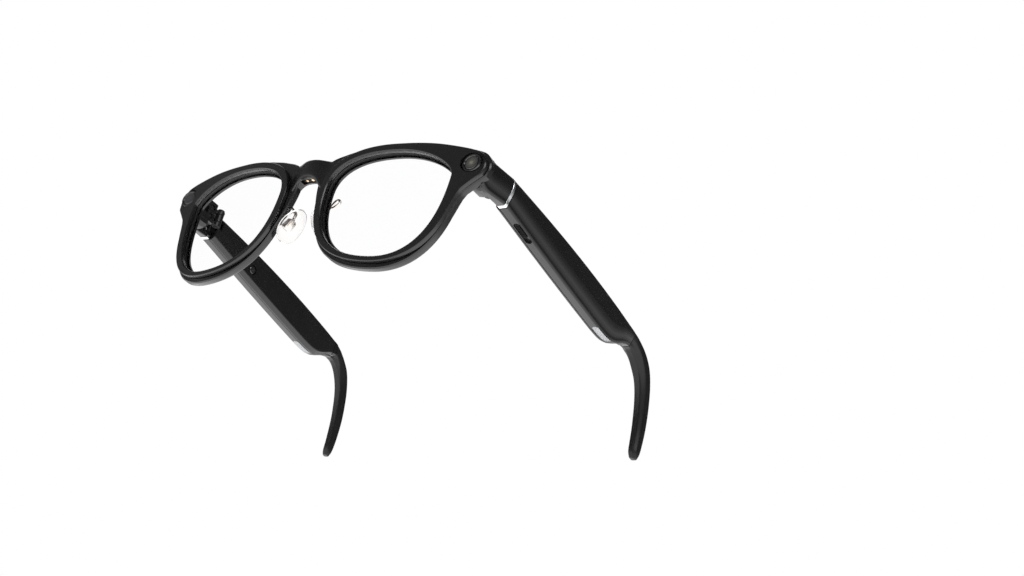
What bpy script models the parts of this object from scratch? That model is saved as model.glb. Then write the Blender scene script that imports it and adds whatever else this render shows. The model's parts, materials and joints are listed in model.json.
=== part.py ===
"""Smart glasses: an acetate-look black frame with two raised front plates, a camera and an indicator light
in the outer corners, folding electronics temples with silver collars, and clear rocking nose pads.

Frame: metres, +Z up along the front, the front faces -Y, the temples run towards +Y and +X is the
wearer's left. The origin is the middle of the flat charging face under the bridge. The layout below is
in millimetres from another point, on the symmetry plane level with the front of the bridge and the
middle of the lens openings, and placed() carries it over.
"""
import bmesh
import bpy
import math
from mathutils import Matrix, Vector

MM = 0.001

# ---- driving dimensions, millimetres ----
DATUM = Vector((0.0, 2.3, 12.7))    # the charging face, where the model has its origin
WRAP = 0.00170              # the front curves back by WRAP * x * x
LENS_NASAL = 10.6           # lens opening, as worn on the left side (x)
LENS_TEMPORAL = 57.8
LENS_TOP = 20.85
LENS_BOTTOM = -20.85
LENS_TOP_X = 34.9           # where the outline is level at the top and at the bottom
LENS_BOTTOM_X = 37.5
LENS_NASAL_Z = 7.05         # where the outline is upright at the nose and at the temple
LENS_TEMPORAL_Z = 10.75
LENS_HANDLES = (0.64, 0.30, 0.59, 0.71, 0.66, 0.65, 0.63, 0.69)
OUTLINE_STEPS = 15          # points in each of the four arcs of the outline

PLATE_RIM = (2.8, 2.2, 3.5, 3.2)     # raised rim width: nasal, bottom, temporal, top
FRAME_RIM = (3.3, 4.0, 3.6, 3.75)     # rear frame width, same order
PLATE_BACK = 1.5            # depth of the back of the front plates
FRAME_FRONT = 1.8           # depth of the front of the rear frame
REBATE_FLOOR = 3.5          # the lens sits in front of this
FRAME_BACK = 4.7
SCREW_HEIGHTS = (13.9, 17.5)  # of the two screws in each hinge leaf
LIP = 0.6                   # how far the rear lip stands inside the opening
LENS_FRONT = 1.85
LENS_BACK = 3.15

CORNER = ((35.2, 24.05), (41.8, 24.02), (49.0, 23.6), (56.5, 22.5), (63.6, 21.0), (67.0, 19.35),
          (68.85, 16.3), (68.9, 12.9), (67.6, 10.2), (65.3, 8.3), (63.3, 6.4), (61.95, 3.8), (61.15, 1.2),
          (60.55, -1.2), (59.85, -3.56))
FRAME_CORNER = ((35.2, 24.6), (41.8, 24.6), (49.2, 24.2), (56.8, 23.2), (64.0, 21.8), (67.7, 20.2),
                (69.65, 16.7), (69.5, 12.8), (67.9, 10.0), (65.5, 8.1), (63.5, 6.3), (62.1, 3.7), (61.32, 1.1),
                (60.7, -1.3), (60.03, -3.59))
SHOULDER = ((31.5, 24.53), (24.0, 24.3), (20.0, 23.6), (16.0, 22.8), (12.5, 21.8), (9.6, 20.9), (7.0, 19.2),
            (5.2, 14.6), (4.7, 10.8), (5.1, 7.0), (6.3, 2.0), (8.3, -4.0), (10.6, -9.0))
EYE_X = 63.9                # centre of the camera and of the indicator
EYE_Z = 15.5
EYE_BORE = 3.85
EYE_RING = 3.55
EYE_GLASS = 2.5

AXIS_X = 62.3               # hinge axis
AXIS_Y = 22.4
FLARE = math.radians(2.9)   # the open temples splay outwards by this much
FOLD_SEAM = 23.1            # the endpiece ends here
COLLAR_FRONT = 23.7
COLLAR_BACK = 25.0
SHELL_FRONT = 25.3
SHELL_BACK = 116.4
TOP_LINE = ((20.0, 19.9), (24.0, 19.75), (30.0, 19.6), (48.0, 18.9), (66.0, 17.75), (84.5, 16.05),
            (103.0, 13.8), (111.0, 12.6), (117.0, 11.5), (121.0, 10.3))
BOTTOM_LINE = ((20.0, 8.9), (24.0, 8.7), (48.0, 5.3), (66.0, 2.9), (84.0, 0.7), (95.0, -0.5), (101.0, -0.7),
               (105.0, 0.1), (108.5, 1.6), (111.5, 3.2), (114.5, 4.3), (117.0, 4.6), (121.0, 4.4))
OUTER_X = 71.0              # outer side of the temple
PART_X = 66.2               # where the outer shell meets the inner cover
COVER_X = 64.2              # inner face of the temple
WALL = 1.3
GAP = 0.3                   # clearance between pieces

HOOK = (                    # lower edge y z, upper edge y z, inner x, outer x
    (116.8, 4.5, 116.8, 11.5, 64.3, 71.0),
    (118.3, 4.35, 118.9, 10.95, 64.6, 71.05),
    (119.6, 3.9, 121.0, 10.1, 64.9, 71.1),
    (122.1, 2.6, 125.4, 8.0, 65.6, 71.2),
    (125.1, -0.1, 129.2, 5.3, 66.2, 71.2),
    (127.9, -3.7, 132.3, 1.6, 66.7, 71.2),
    (129.7, -7.7, 134.8, -3.7, 66.9, 71.1),
    (131.0, -12.3, 136.4, -9.5, 67.0, 71.0),
    (132.0, -17.3, 137.4, -15.6, 67.0, 70.9),
    (132.6, -22.8, 137.8, -21.7, 67.1, 70.8),
    (132.9, -27.7, 137.6, -27.8, 67.1, 70.7),
    (133.1, -31.2, 137.1, -31.6, 67.2, 70.6),
    (133.7, -33.3, 136.5, -33.6, 67.6, 70.2),
)

PAD_CENTRE = (5.7, 6.9, -2.65)
PAD_LENGTH = 14.2
MOUNT_DEPTH = 2.35
PAD_WIDTH = 9.6
PAD_FACE = (-0.93, -0.10, -0.34)    # the way the left pad faces: towards the nose and a little down
PAD_LONG = (-0.35, 0.17, 0.92)      # the long way of the left pad: its top leans in
WIRE_R = 0.45

CONTACT_X = 1.3             # charging contacts either side of the middle
CONTACT_R = 0.6

SWITCH_FRONT = 33.0         # pocket of the sliding switch on the underside of the left temple
SWITCH_BACK = 43.6
SWITCH_X = 68.05
SWITCH_TRAVEL = 2.4
GRILLE_FRONT = 92.3
GRILLE_BACK = 104.3
GRILLE_X = 68.1
SENSOR_Y = 51.3
SENSOR_Z = 10.3


# ---- scene helpers ----
for old in list(bpy.data.objects):
    bpy.data.objects.remove(old, do_unlink=True)

PARTS = bpy.data.collections.new("smart_glasses")
TOOLS = bpy.data.collections.new("cutters")
bpy.context.scene.collection.children.link(PARTS)
bpy.context.scene.collection.children.link(TOOLS)


def material(name, colour, roughness, metallic=0.0, transmission=0.0):
    m = bpy.data.materials.new(name)
    m.use_nodes = True
    node = m.node_tree.nodes["Principled BSDF"]
    node.inputs["Base Color"].default_value = (*colour, 1.0)
    node.inputs["Roughness"].default_value = roughness
    node.inputs["Metallic"].default_value = metallic
    node.inputs["Transmission Weight"].default_value = transmission
    m.diffuse_color = (*colour, 1.0)
    return m


BLACK = material("satin_black", (0.018, 0.018, 0.020), 0.38)
GLOSS = material("gloss_black", (0.010, 0.010, 0.012), 0.15)
SOFT = material("soft_black", (0.014, 0.014, 0.015), 0.50)
SILVER = material("silver", (0.72, 0.73, 0.75), 0.28, 1.0)
STEEL = material("steel", (0.55, 0.55, 0.57), 0.30, 1.0)
DARK_METAL = material("dark_metal", (0.06, 0.06, 0.065), 0.42, 1.0)
CHROME = material("chrome", (0.80, 0.79, 0.78), 0.12, 1.0)
GOLD = material("gold", (0.86, 0.58, 0.30), 0.25, 1.0)
CLEAR = material("clear_lens", (0.96, 0.97, 0.98), 0.03, 0.0, 0.95)
SMOKED = material("smoked_glass", (0.10, 0.10, 0.095), 0.08, 0.0, 0.4)
SILICONE = material("clear_silicone", (0.90, 0.90, 0.89), 0.25, 0.0, 0.8)
CELL = material("battery_wrap", (0.30, 0.31, 0.33), 0.45)
BOARD = material("circuit_board", (0.02, 0.10, 0.06), 0.45)


def placed(point):
    """A layout point, in millimetres, as a place in the model, in metres."""
    return (Vector(point) - DATUM) * MM


def finished(name, mesh, mat, collection=None, smooth=32.0):
    """The object of a mesh, with its material, smooth between its sharp edges."""
    obj = bpy.data.objects.new(name, mesh)
    (collection or PARTS).objects.link(obj)
    if mat:
        mesh.materials.append(mat)
    mesh.shade_smooth()
    mesh.set_sharp_from_angle(angle=math.radians(smooth))
    return obj


def make(name, verts, faces, mat, collection=None, smooth=32.0):
    """A closed body from layout points."""
    bm = bmesh.new()
    handles = [bm.verts.new(placed(v)) for v in verts]
    for f in faces:
        bm.faces.new([handles[i] for i in f])
    bmesh.ops.remove_doubles(bm, verts=bm.verts, dist=1e-6)
    bmesh.ops.recalc_face_normals(bm, faces=bm.faces)
    mesh = bpy.data.meshes.new(name)
    bm.to_mesh(mesh)
    bm.free()
    return finished(name, mesh, mat, collection, smooth)


def tool(obj):
    """Hide a cutter or an added block from the finished model."""
    obj.hide_render = True
    obj.display_type = "WIRE"
    return obj


def combine(obj, other, operation):
    """Join, cut or intersect with a hidden tool, exactly."""
    mod = obj.modifiers.new(operation.lower(), "BOOLEAN")
    mod.operation = operation
    mod.solver = "EXACT"
    mod.object = tool(other)
    return obj


def loft_faces(rows, count, closed=False):
    faces = []
    last = rows if closed else rows - 1
    for j in range(last):
        k = (j + 1) % rows
        for i in range(count):
            n = (i + 1) % count
            faces.append((j * count + i, j * count + n, k * count + n, k * count + i))
    if not closed:
        faces.append(tuple(range(count)))
        faces.append(tuple((rows - 1) * count + i for i in range(count)))
    return faces


def loft(name, sections, mat, collection=None, closed=False):
    verts = [p for s in sections for p in s]
    return make(name, verts, loft_faces(len(sections), len(sections[0]), closed), mat, collection)


def block(name, low, high, mat, chamfer=0.3, collection=None):
    """A box between two corners with its edges cut."""
    low, high = Vector(low), Vector(high)
    bm = bmesh.new()
    bmesh.ops.create_cube(bm, size=1.0)
    bmesh.ops.scale(bm, vec=(high - low) * MM, verts=bm.verts)
    mesh = bpy.data.meshes.new(name)
    bm.to_mesh(mesh)
    bm.free()
    obj = finished(name, mesh, mat, collection)
    obj.location = placed((low + high) / 2)
    edge = obj.modifiers.new("chamfer", "BEVEL")
    edge.width = chamfer * MM
    edge.segments = 1
    return obj


def turned(name, centre, axis, profile, mat, steps=32, collection=None, closed=False):
    """A solid of revolution: the profile holds (radius, distance along the axis), in either direction."""
    loop = list(zip(profile, profile[1:] + profile[:1]))
    if sum(r0 * t1 - r1 * t0 for (r0, t0), (r1, t1) in loop) > 0:
        profile = profile[::-1]
    edges = [(i, i + 1) for i in range(len(profile) - 1)]
    if closed:
        edges.append((len(profile) - 1, 0))
    mesh = bpy.data.meshes.new(name)
    mesh.from_pydata([(r * MM, 0.0, t * MM) for r, t in profile], edges, [])
    obj = finished(name, mesh, mat, collection)
    obj.location = placed(centre)
    obj.rotation_euler = Vector(axis).to_track_quat("Z", "Y").to_euler()
    spin = obj.modifiers.new("turn", "SCREW")
    spin.steps = steps
    spin.render_steps = steps
    spin.use_merge_vertices = True
    spin.merge_threshold = 1e-5
    return obj


def tube(name, path, radius, mat, collection=None):
    """A round wire along a path, made a mesh so that it can cut."""
    curve = bpy.data.curves.new(name, "CURVE")
    curve.dimensions = "3D"
    curve.bevel_depth = radius * MM
    curve.bevel_resolution = 1
    curve.use_fill_caps = True
    wire = curve.splines.new("POLY")
    wire.points.add(len(path) - 1)
    for point, place in zip(wire.points, path):
        point.co = (*placed(place), 1.0)
    guide = bpy.data.objects.new(name + "_curve", curve)
    TOOLS.objects.link(guide)
    mesh = bpy.data.meshes.new_from_object(guide.evaluated_get(bpy.context.evaluated_depsgraph_get()))
    bpy.data.objects.remove(guide)
    bm = bmesh.new()
    bm.from_mesh(mesh)
    bmesh.ops.remove_doubles(bm, verts=bm.verts, dist=1e-6)
    bmesh.ops.recalc_face_normals(bm, faces=bm.faces)
    bm.to_mesh(mesh)
    bm.free()
    return finished(name, mesh, mat, collection)


def interpolate(line, y):
    """Smooth height along a line of (y, z) points."""
    pts = list(line)
    if y <= pts[0][0]:
        return pts[0][1]
    if y >= pts[-1][0]:
        return pts[-1][1]
    k = max(i for i in range(len(pts) - 1) if pts[i][0] <= y)
    p1, p2 = pts[k], pts[k + 1]
    p0 = pts[max(k - 1, 0)]
    p3 = pts[min(k + 2, len(pts) - 1)]
    m1 = (p2[1] - p0[1]) / (p2[0] - p0[0])
    m2 = (p3[1] - p1[1]) / (p3[0] - p1[0])
    h = p2[0] - p1[0]
    t = (y - p1[0]) / h
    return ((2 * t ** 3 - 3 * t ** 2 + 1) * p1[1] + (t ** 3 - 2 * t ** 2 + t) * h * m1
            + (-2 * t ** 3 + 3 * t ** 2) * p2[1] + (t ** 3 - t ** 2) * h * m2)


def spline(points, per):
    """Catmull-Rom curve through points of any dimension."""
    pts = [Vector(p) for p in points]
    out = []
    for k in range(len(pts) - 1):
        p1, p2 = pts[k], pts[k + 1]
        p0 = pts[k - 1] if k else p1 * 2 - p2
        p3 = pts[k + 2] if k + 2 < len(pts) else p2 * 2 - p1
        for i in range(per):
            t = i / per
            out.append(0.5 * (2 * p1 + (p2 - p0) * t + (2 * p0 - 5 * p1 + 4 * p2 - p3) * t * t
                              + (3 * p1 - p0 - 3 * p2 + p3) * t ** 3))
    out.append(pts[-1])
    return out


# ---- outlines of the front ----
def arc(p0, p1, p2, p3, steps):
    out = []
    for i in range(steps):
        t = i / steps
        s = 1 - t
        out.append(tuple(s ** 3 * a + 3 * s * s * t * b + 3 * s * t * t * c + t ** 3 * d
                         for a, b, c, d in zip(p0, p1, p2, p3)))
    return out


def opening():
    """The lens opening of the left side as (x, z), starting at the top and going outwards."""
    h = LENS_HANDLES
    top, out = (LENS_TOP_X, LENS_TOP), (LENS_TEMPORAL, LENS_TEMPORAL_Z)
    low, nose = (LENS_BOTTOM_X, LENS_BOTTOM), (LENS_NASAL, LENS_NASAL_Z)
    n = OUTLINE_STEPS
    return (arc(top, (top[0] + h[0] * (out[0] - top[0]), top[1]),
                (out[0], out[1] + h[1] * (top[1] - out[1])), out, n)
            + arc(out, (out[0], out[1] - h[2] * (out[1] - low[1])),
                  (low[0] + h[3] * (out[0] - low[0]), low[1]), low, n)
            + arc(low, (low[0] - h[4] * (low[0] - nose[0]), low[1]),
                  (nose[0], nose[1] - h[5] * (nose[1] - low[1])), nose, n)
            + arc(nose, (nose[0], nose[1] + h[6] * (top[1] - nose[1])),
                  (top[0] - h[7] * (top[0] - nose[0]), top[1]), top, n))


def normals(loop):
    out = []
    n = len(loop)
    for i in range(n):
        ax, az = loop[i - 1]
        bx, bz = loop[(i + 1) % n]
        tx, tz = bx - ax, bz - az
        size = math.hypot(tx, tz)
        out.append((-tz / size, tx / size))
    cx = sum(p[0] for p in loop) / n
    cz = sum(p[1] for p in loop) / n
    sign = sum((p[0] - cx) * q[0] + (p[1] - cz) * q[1] for p, q in zip(loop, out))
    return out if sign > 0 else [(-a, -b) for a, b in out]


def widened(loop, rim):
    """Push an outline outwards: rim gives the nasal, bottom, temporal and top amounts."""
    if isinstance(rim, (int, float)):
        rim = (rim,) * 4
    out = []
    for (x, z), (nx, nz) in zip(loop, normals(loop)):
        amount = (rim[0] * max(-nx, 0) ** 2 + rim[1] * max(-nz, 0) ** 2
                  + rim[2] * max(nx, 0) ** 2 + rim[3] * max(nz, 0) ** 2)
        out.append((x + nx * amount, z + nz * amount))
    return out


def with_corner(loop, corner):
    """Carry the outline out to a path, seen from the middle of the lens."""
    cx, cz = 36.0, 0.0

    def polar(x, z):
        return math.atan2(z - cz, x - cx) % (2 * math.pi), math.hypot(x - cx, z - cz)

    path = [polar(p[0], p[1]) for p in spline(corner, 12)]
    if max(a for a, r in path) - min(a for a, r in path) > math.pi:
        path = [(a - 2 * math.pi if a > math.pi else a, r) for a, r in path]
    path.sort()
    out = []
    for x, z in loop:
        a, r = polar(x, z)
        if a > path[-1][0] and a - 2 * math.pi >= path[0][0]:
            a -= 2 * math.pi
        if path[0][0] <= a <= path[-1][0]:
            k = max(i for i in range(len(path) - 1) if path[i][0] <= a)
            (a0, r0), (a1, r1) = path[k], path[k + 1]
            r = max(r, r0 + (r1 - r0) * (a - a0) / max(a1 - a0, 1e-9))
        out.append((cx + r * math.cos(a), cz + r * math.sin(a)))
    return out


OPENING = opening()
PLATE_OUTLINE = with_corner(widened(OPENING, PLATE_RIM), CORNER)
FRAME_OUTLINE = with_corner(with_corner(widened(OPENING, FRAME_RIM), FRAME_CORNER), SHOULDER)


def face_y(x):
    return WRAP * x * x


def swept_ring(name, side, profile, mat, collection=None):
    """A closed band around the lens opening. Each profile entry is (outline, outward push, depth)."""
    rows = []
    for outline, push, depth in profile:
        loop = widened(outline, push)
        rows.append([(side * x, face_y(x) + depth, z) for x, z in loop])
    return loft(name, rows, mat, collection, True)


def front_plate(name, side):
    profile = ((OPENING, 0.45, 0.0), (OPENING, 0.0, 0.5), (OPENING, 0.0, PLATE_BACK),
               (PLATE_OUTLINE, 0.0, PLATE_BACK), (PLATE_OUTLINE, 0.0, 0.75),
               (PLATE_OUTLINE, -0.22, 0.22), (PLATE_OUTLINE, -0.7, 0.0))
    plate = swept_ring(name, side, profile, BLACK)
    y = face_y(EYE_X)
    bore = turned(name + "_bore", (side * EYE_X, y, EYE_Z), (0, 1, 0),
                  ((0, -2), (EYE_BORE, -2), (EYE_BORE, 3), (0, 3)), None, 40, TOOLS)
    return combine(plate, bore, "DIFFERENCE")


def lens(name, side):
    edge = widened(OPENING, 0.42)
    cx, cz = 35.5, 0.0
    rows = []
    for depth, order in ((LENS_FRONT, (0.35, 0.7, 1.0)), (LENS_BACK, (1.0, 0.7, 0.35))):
        for s in order:
            rows.append([(side * (cx + (x - cx) * s), face_y(cx + (x - cx) * s) + depth, cz + (z - cz) * s)
                         for x, z in edge])
    return loft(name, rows, CLEAR)


# ---- the rear frame, one moulding from hinge to hinge ----
def rim_block(name, side, collection=None):
    profile = ((OPENING, 0.75, FRAME_FRONT), (OPENING, 0.75, REBATE_FLOOR), (OPENING, -LIP, REBATE_FLOOR),
               (OPENING, -LIP, FRAME_BACK - 0.4), (OPENING, -LIP + 0.4, FRAME_BACK),
               (FRAME_OUTLINE, -0.8, FRAME_BACK), (FRAME_OUTLINE, 0.0, FRAME_BACK - 0.8),
               (FRAME_OUTLINE, 0.0, FRAME_FRONT + 0.35), (FRAME_OUTLINE, -0.35, FRAME_FRONT))
    return swept_ring(name, side, profile, BLACK, collection)


BRIDGE_TOP = ((0.0, 20.4), (3.0, 20.55), (5.5, 20.5), (7.6, 20.45), (9.6, 20.6), (12.5, 21.3))
BRIDGE_LOW = ((0.0, 12.5), (2.4, 12.25), (4.0, 11.3), (5.3, 9.6), (6.6, 8.2), (8.2, 9.0), (10.4, 12.6),
              (12.5, 15.0))


def bridge_block():
    sections = []
    for i in range(-16, 17):
        x = i * 0.75
        a = abs(x)
        top = interpolate(BRIDGE_TOP, a)
        low = interpolate(BRIDGE_LOW, a)
        swell = math.cos(min(a / 9.4, 1.0) * math.pi / 2) ** 2
        front = FRAME_FRONT + 0.15 + face_y(x) - 2.7 * swell
        back = FRAME_BACK + face_y(x) + 0.3 * swell
        mid = (front + back) / 2
        h = top - low
        sections.append([
            (x, mid, top), (x, front + 1.1, top - 0.25), (x, front + 0.35, top - 1.0), (x, front, top - 2.4),
            (x, front, top - h * 0.5), (x, front + 0.1, low + 1.5), (x, front + 0.4, low + 0.4),
            (x, front + 0.9, low), (x, back - 0.9, low + 0.15), (x, back - 0.2, low + 1.0),
            (x, back, low + h * 0.4), (x, back - 0.1, top - 1.8), (x, back - 0.8, top - 0.5)])
    return loft("bridge", sections, None, TOOLS)


def side_chain(top, bottom, outer, part=PART_X):
    """Outer surface of an endpiece or a temple from the inner top edge to the inner bottom edge."""
    mid = (top + bottom) / 2
    return [(part, top - 0.75), (part + 0.7, top - 0.2), (part + 1.8, top), (outer - 1.7, top - 0.2),
            (outer - 0.75, top - 0.75), (outer - 0.2, top - 2.0), (outer + 0.05, top - 4.0),
            (outer + 0.05, mid - 0.8),
            (outer - 0.15, bottom + 2.8), (outer - 0.5, bottom + 1.5), (outer - 1.0, bottom + 0.75),
            (outer - 1.2, bottom + 0.3), (outer - 1.55, bottom + 0.05), (part + 0.15, bottom),
            (part, bottom + 0.12)]


def shell_section(top, bottom, outer, wall=WALL):
    """Open C section: the outer surface and the inside surface."""
    h = top - bottom
    inner = [(PART_X, bottom + wall), (outer - 2.4, bottom + wall + 0.1),
             (outer - wall - 0.9, bottom + wall + 0.09 * h),
             (outer - wall - 0.25, bottom + 0.4 * h), (outer - wall, bottom + 0.52 * h),
             (outer - wall - 0.3, top - 0.34 * h), (outer - wall - 1.0, top - wall - 0.35),
             (PART_X, top - wall - 0.35)]
    return side_chain(top, bottom, outer) + inner


def endpiece_outer(y):
    return 68.8 + (OUTER_X - 68.8) * (y - 10.0) / (FOLD_SEAM - 10.0)


def endpiece_block(side):
    sections = []
    for y in (11.2, 12.3, 13.5, 15.0, 17.0, 19.0, 21.0, FOLD_SEAM):
        t = (y - 10.0) / (FOLD_SEAM - 10.0)
        top = 19.6 + 0.25 * t
        bottom = 7.9 + 0.85 * t ** 1.5 + 1.5 * max(0.0, 1.0 - (y - 11.2) / 3.4) ** 2
        sections.append([(side * x, y, z) for x, z in shell_section(top, bottom, endpiece_outer(y), 1.5)])
    return loft("endpiece", sections, None, TOOLS)


def endpiece_root(side):
    """Solid web that carries the endpiece out of the rim's corner and closes it below."""
    sections = []
    for y, bottom, outer in ((9.6, 11.2, 67.3), (11.05, 9.9, 68.1), (12.3, 8.7, 68.8), (14.0, 8.2, 69.2),
                             (17.4, 8.4, 69.6)):
        sections.append([(side * x, y, z) for x, z in (
            (61.45, 13.2), (61.45, bottom + 1.6), (62.8, bottom + 0.35), (64.4, bottom),
            (outer - 1.7, bottom),
            (outer - 1.0, bottom + 0.8), (outer - 0.45, bottom + 1.8), (outer - 0.4, 13.2))])
    return loft("endpiece_root", sections, None, TOOLS)


def hinge_boss(side):
    """The solid corner behind the rim that the hinge is screwed to."""
    outline = ((61.0, 10.0), (68.0, 11.2), (68.0, 13.6), (66.3, 13.6), (66.3, 19.6), (61.7, 19.6),
               (61.0, 18.9))
    return loft("hinge_boss", [[(side * x, y, z) for x, y in outline] for z in (11.6, 19.8)], None, TOOLS)


def pad_foot(name, side, profile, steps):
    """Small moulded foot that holds the wire of a nose pad, or the hole in it."""
    return turned(name, (side * 9.6, 4.2, 2.6), (side * -0.25, 1.0, 0.0), profile, None, steps, TOOLS)


def frame_cuts(side):
    """Everything taken out of one side of the rear frame."""
    yield turned("eye_bore", (side * EYE_X, face_y(EYE_X), EYE_Z), (0, 1, 0),
                 ((0, -1.0), (EYE_BORE, -1.0), (EYE_BORE, 1.9), (3.2, 1.9), (3.2, 8.2), (0, 8.2)),
                 None, 40, TOOLS)
    yield pad_foot("pad_hole", side, ((0, 0.6), (WIRE_R + 0.25, 0.6), (WIRE_R + 0.25, 3.0), (0, 3.0)), 12)
    yield hinge_block("leaf_pocket", side, (62.4, 14.6, 12.1), (64.6, 21.0, 19.3), None, 0.1, TOOLS)
    for z in SCREW_HEIGHTS:
        yield turned("leaf_screw_hole", (side * 60.0, 17.0, z), (side, 0, 0),
                     ((0, 0.0), (1.15, 0.0), (1.15, 5.6), (0, 5.6)), None, 16, TOOLS)


def front_frame():
    frame = rim_block("front_frame", 1)
    combine(frame, rim_block("other_rim", -1, TOOLS), "UNION")
    combine(frame, bridge_block(), "UNION")
    for side in (1, -1):
        for piece in (endpiece_block(side), endpiece_root(side), hinge_boss(side),
                      pad_foot("pad_foot", side,
                               ((0, -1.0), (1.35, -1.0), (1.35, 1.5), (0.9, 1.95), (0, 1.95)), 20)):
            combine(frame, piece, "UNION")
        for piece in frame_cuts(side):
            combine(frame, piece, "DIFFERENCE")
    pocket = block("contact_pocket", (-3.1, 1.0, 10.0), (3.1, 3.6, 14.6), None, 0.3, TOOLS)
    return combine(frame, pocket, "DIFFERENCE")


# ---- camera and indicator in the front corners ----
def eye_stack(side, ring_name, glass_name):
    c = (side * EYE_X, face_y(EYE_X), EYE_Z)
    inner = EYE_GLASS + 0.25
    turned(ring_name, c, (0, 1, 0),
           ((inner, 1.4), (inner, 0.2), (inner + 0.25, -0.05), (EYE_RING - 0.25, -0.05),
                                     (EYE_RING, 0.2), (EYE_RING, 1.4)), GLOSS, 28, closed=True)
    turned(glass_name, c, (0, 1, 0),
           ((0, 0.0), (EYE_GLASS - 0.2, 0.02), (EYE_GLASS, 0.2), (EYE_GLASS, 1.2), (0, 1.2)),
           SMOKED)
    return c


def camera_parts():
    c = eye_stack(1, "camera_ring", "camera_window")
    turned("camera_barrel", c, (0, 1, 0),
           ((0, 1.7), (1.5, 1.7), (1.9, 2.1), (2.6, 2.1), (2.6, 5.0), (0, 5.0)), GLOSS)
    block("camera_board", (61.8, c[1] + 5.3, EYE_Z - 2.1), (66.0, c[1] + 6.1, EYE_Z + 2.1), BOARD, 0.3)


def indicator_parts():
    c = eye_stack(-1, "indicator_ring", "indicator_window")
    turned("indicator_led", c, (0, 1, 0), ((0, 1.6), (1.2, 1.6), (1.6, 2.0), (1.6, 3.2), (0, 3.2)), CLEAR, 24)
    block("indicator_board", (-66.0, c[1] + 3.6, EYE_Z - 2.1), (-61.8, c[1] + 4.4, EYE_Z + 2.1), BOARD, 0.3)


# ---- charging contacts under the bridge ----
def contacts():
    """A block with a flat underside and two contacts set just inside it."""
    seat = block("contact_block", (-2.8, 1.3, DATUM.z), (2.8, 3.3, 14.3), GLOSS, 0.1)
    for hand, side in (("left", 1), ("right", -1)):
        place = (side * CONTACT_X, DATUM.y, DATUM.z)
        combine(seat, turned("contact_well_" + hand, place, (0, 0, 1),
                             ((0, -1.0), (CONTACT_R + 0.2, -1.0), (CONTACT_R + 0.2, 1.2),
                              (0, 1.2)), None, 24, TOOLS),
                "DIFFERENCE")
        turned("charging_contact_" + hand, place, (0, 0, 1),
               ((0, 0.05), (CONTACT_R - 0.08, 0.05), (CONTACT_R, 0.15), (CONTACT_R, 1.0), (0, 1.0)), GOLD, 20)


# ---- nose pads ----
def pad_axes(side):
    """Outward (towards the nose), long and short directions of a pad."""
    n = Vector((side * PAD_FACE[0], PAD_FACE[1], PAD_FACE[2])).normalized()
    long = Vector((side * PAD_LONG[0], PAD_LONG[1], PAD_LONG[2]))
    long = (long - n * long.dot(n)).normalized()
    return n, long, n.cross(long)


def nose_pad(name, side):
    n, up, across = pad_axes(side)
    c = Vector((side * PAD_CENTRE[0], PAD_CENTRE[1], PAD_CENTRE[2]))
    rows = []
    steps = 28
    for scale, depth in ((0.45, 0.62), (0.80, 0.42), (0.95, 0.12), (1.0, -0.3), (0.93, -0.62), (0.6, -0.72)):
        ring = []
        for k in range(steps):
            w = 2 * math.pi * k / steps
            taper = 1.0 - 0.13 * math.sin(w)
            ring.append(c + up * (PAD_LENGTH / 2 * scale * math.sin(w))
                        + across * (PAD_WIDTH / 2 * scale * taper * math.cos(w)) + n * depth)
        rows.append(ring)
    return loft(name, rows, SILICONE)


def pad_box(name, side):
    """The little mount behind the pad."""
    n, up, across = pad_axes(side)
    c = Vector((side * PAD_CENTRE[0], PAD_CENTRE[1], PAD_CENTRE[2])) - n * MOUNT_DEPTH
    sections = []
    for depth, s in ((-0.9, 0.8), (-0.6, 1.0), (0.7, 1.0), (1.05, 0.75)):
        sections.append([c + n * depth + up * (2.1 * s * a) + across * (1.5 * s * b)
                         for a, b in ((-1, -0.7), (-0.75, -1), (0.75, -1), (1, -0.7),
                                      (1, 0.7), (0.75, 1), (-0.75, 1), (-1, 0.7))])
    return loft(name, sections, CHROME)


def pad_arm(name, side):
    n, up, across = pad_axes(side)
    end = Vector((side * PAD_CENTRE[0], PAD_CENTRE[1], PAD_CENTRE[2])) - n * MOUNT_DEPTH + up * (2.1 + GAP)
    points = [(side * 9.36, 5.17, 2.6), (side * 9.20, 5.8, 2.6), (side * 9.06, 6.45, 2.65),
              (side * 9.6, 7.1, 3.2),
              (side * 11.2, 7.3, 4.2),
              (side * 12.4, 7.2, 5.3), (side * 11.8, 7.0, 6.3), (side * 10.2, 7.3, 6.1),
              (side * 8.5, 7.7, 4.6),
              (side * 7.2, 7.9, 2.8), (end.x, end.y, end.z + 1.0), tuple(end)]
    return tube(name, spline(points, 3), WIRE_R, CHROME)


# ---- hinges ----
def hinge_block(name, side, low, high, mat, chamfer, collection=None):
    """A box given for the left side, on either side."""
    near, far = sorted((side * low[0], side * high[0]))
    return block(name, (near, low[1], low[2]), (far, high[1], high[2]), mat, chamfer, collection)


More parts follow.
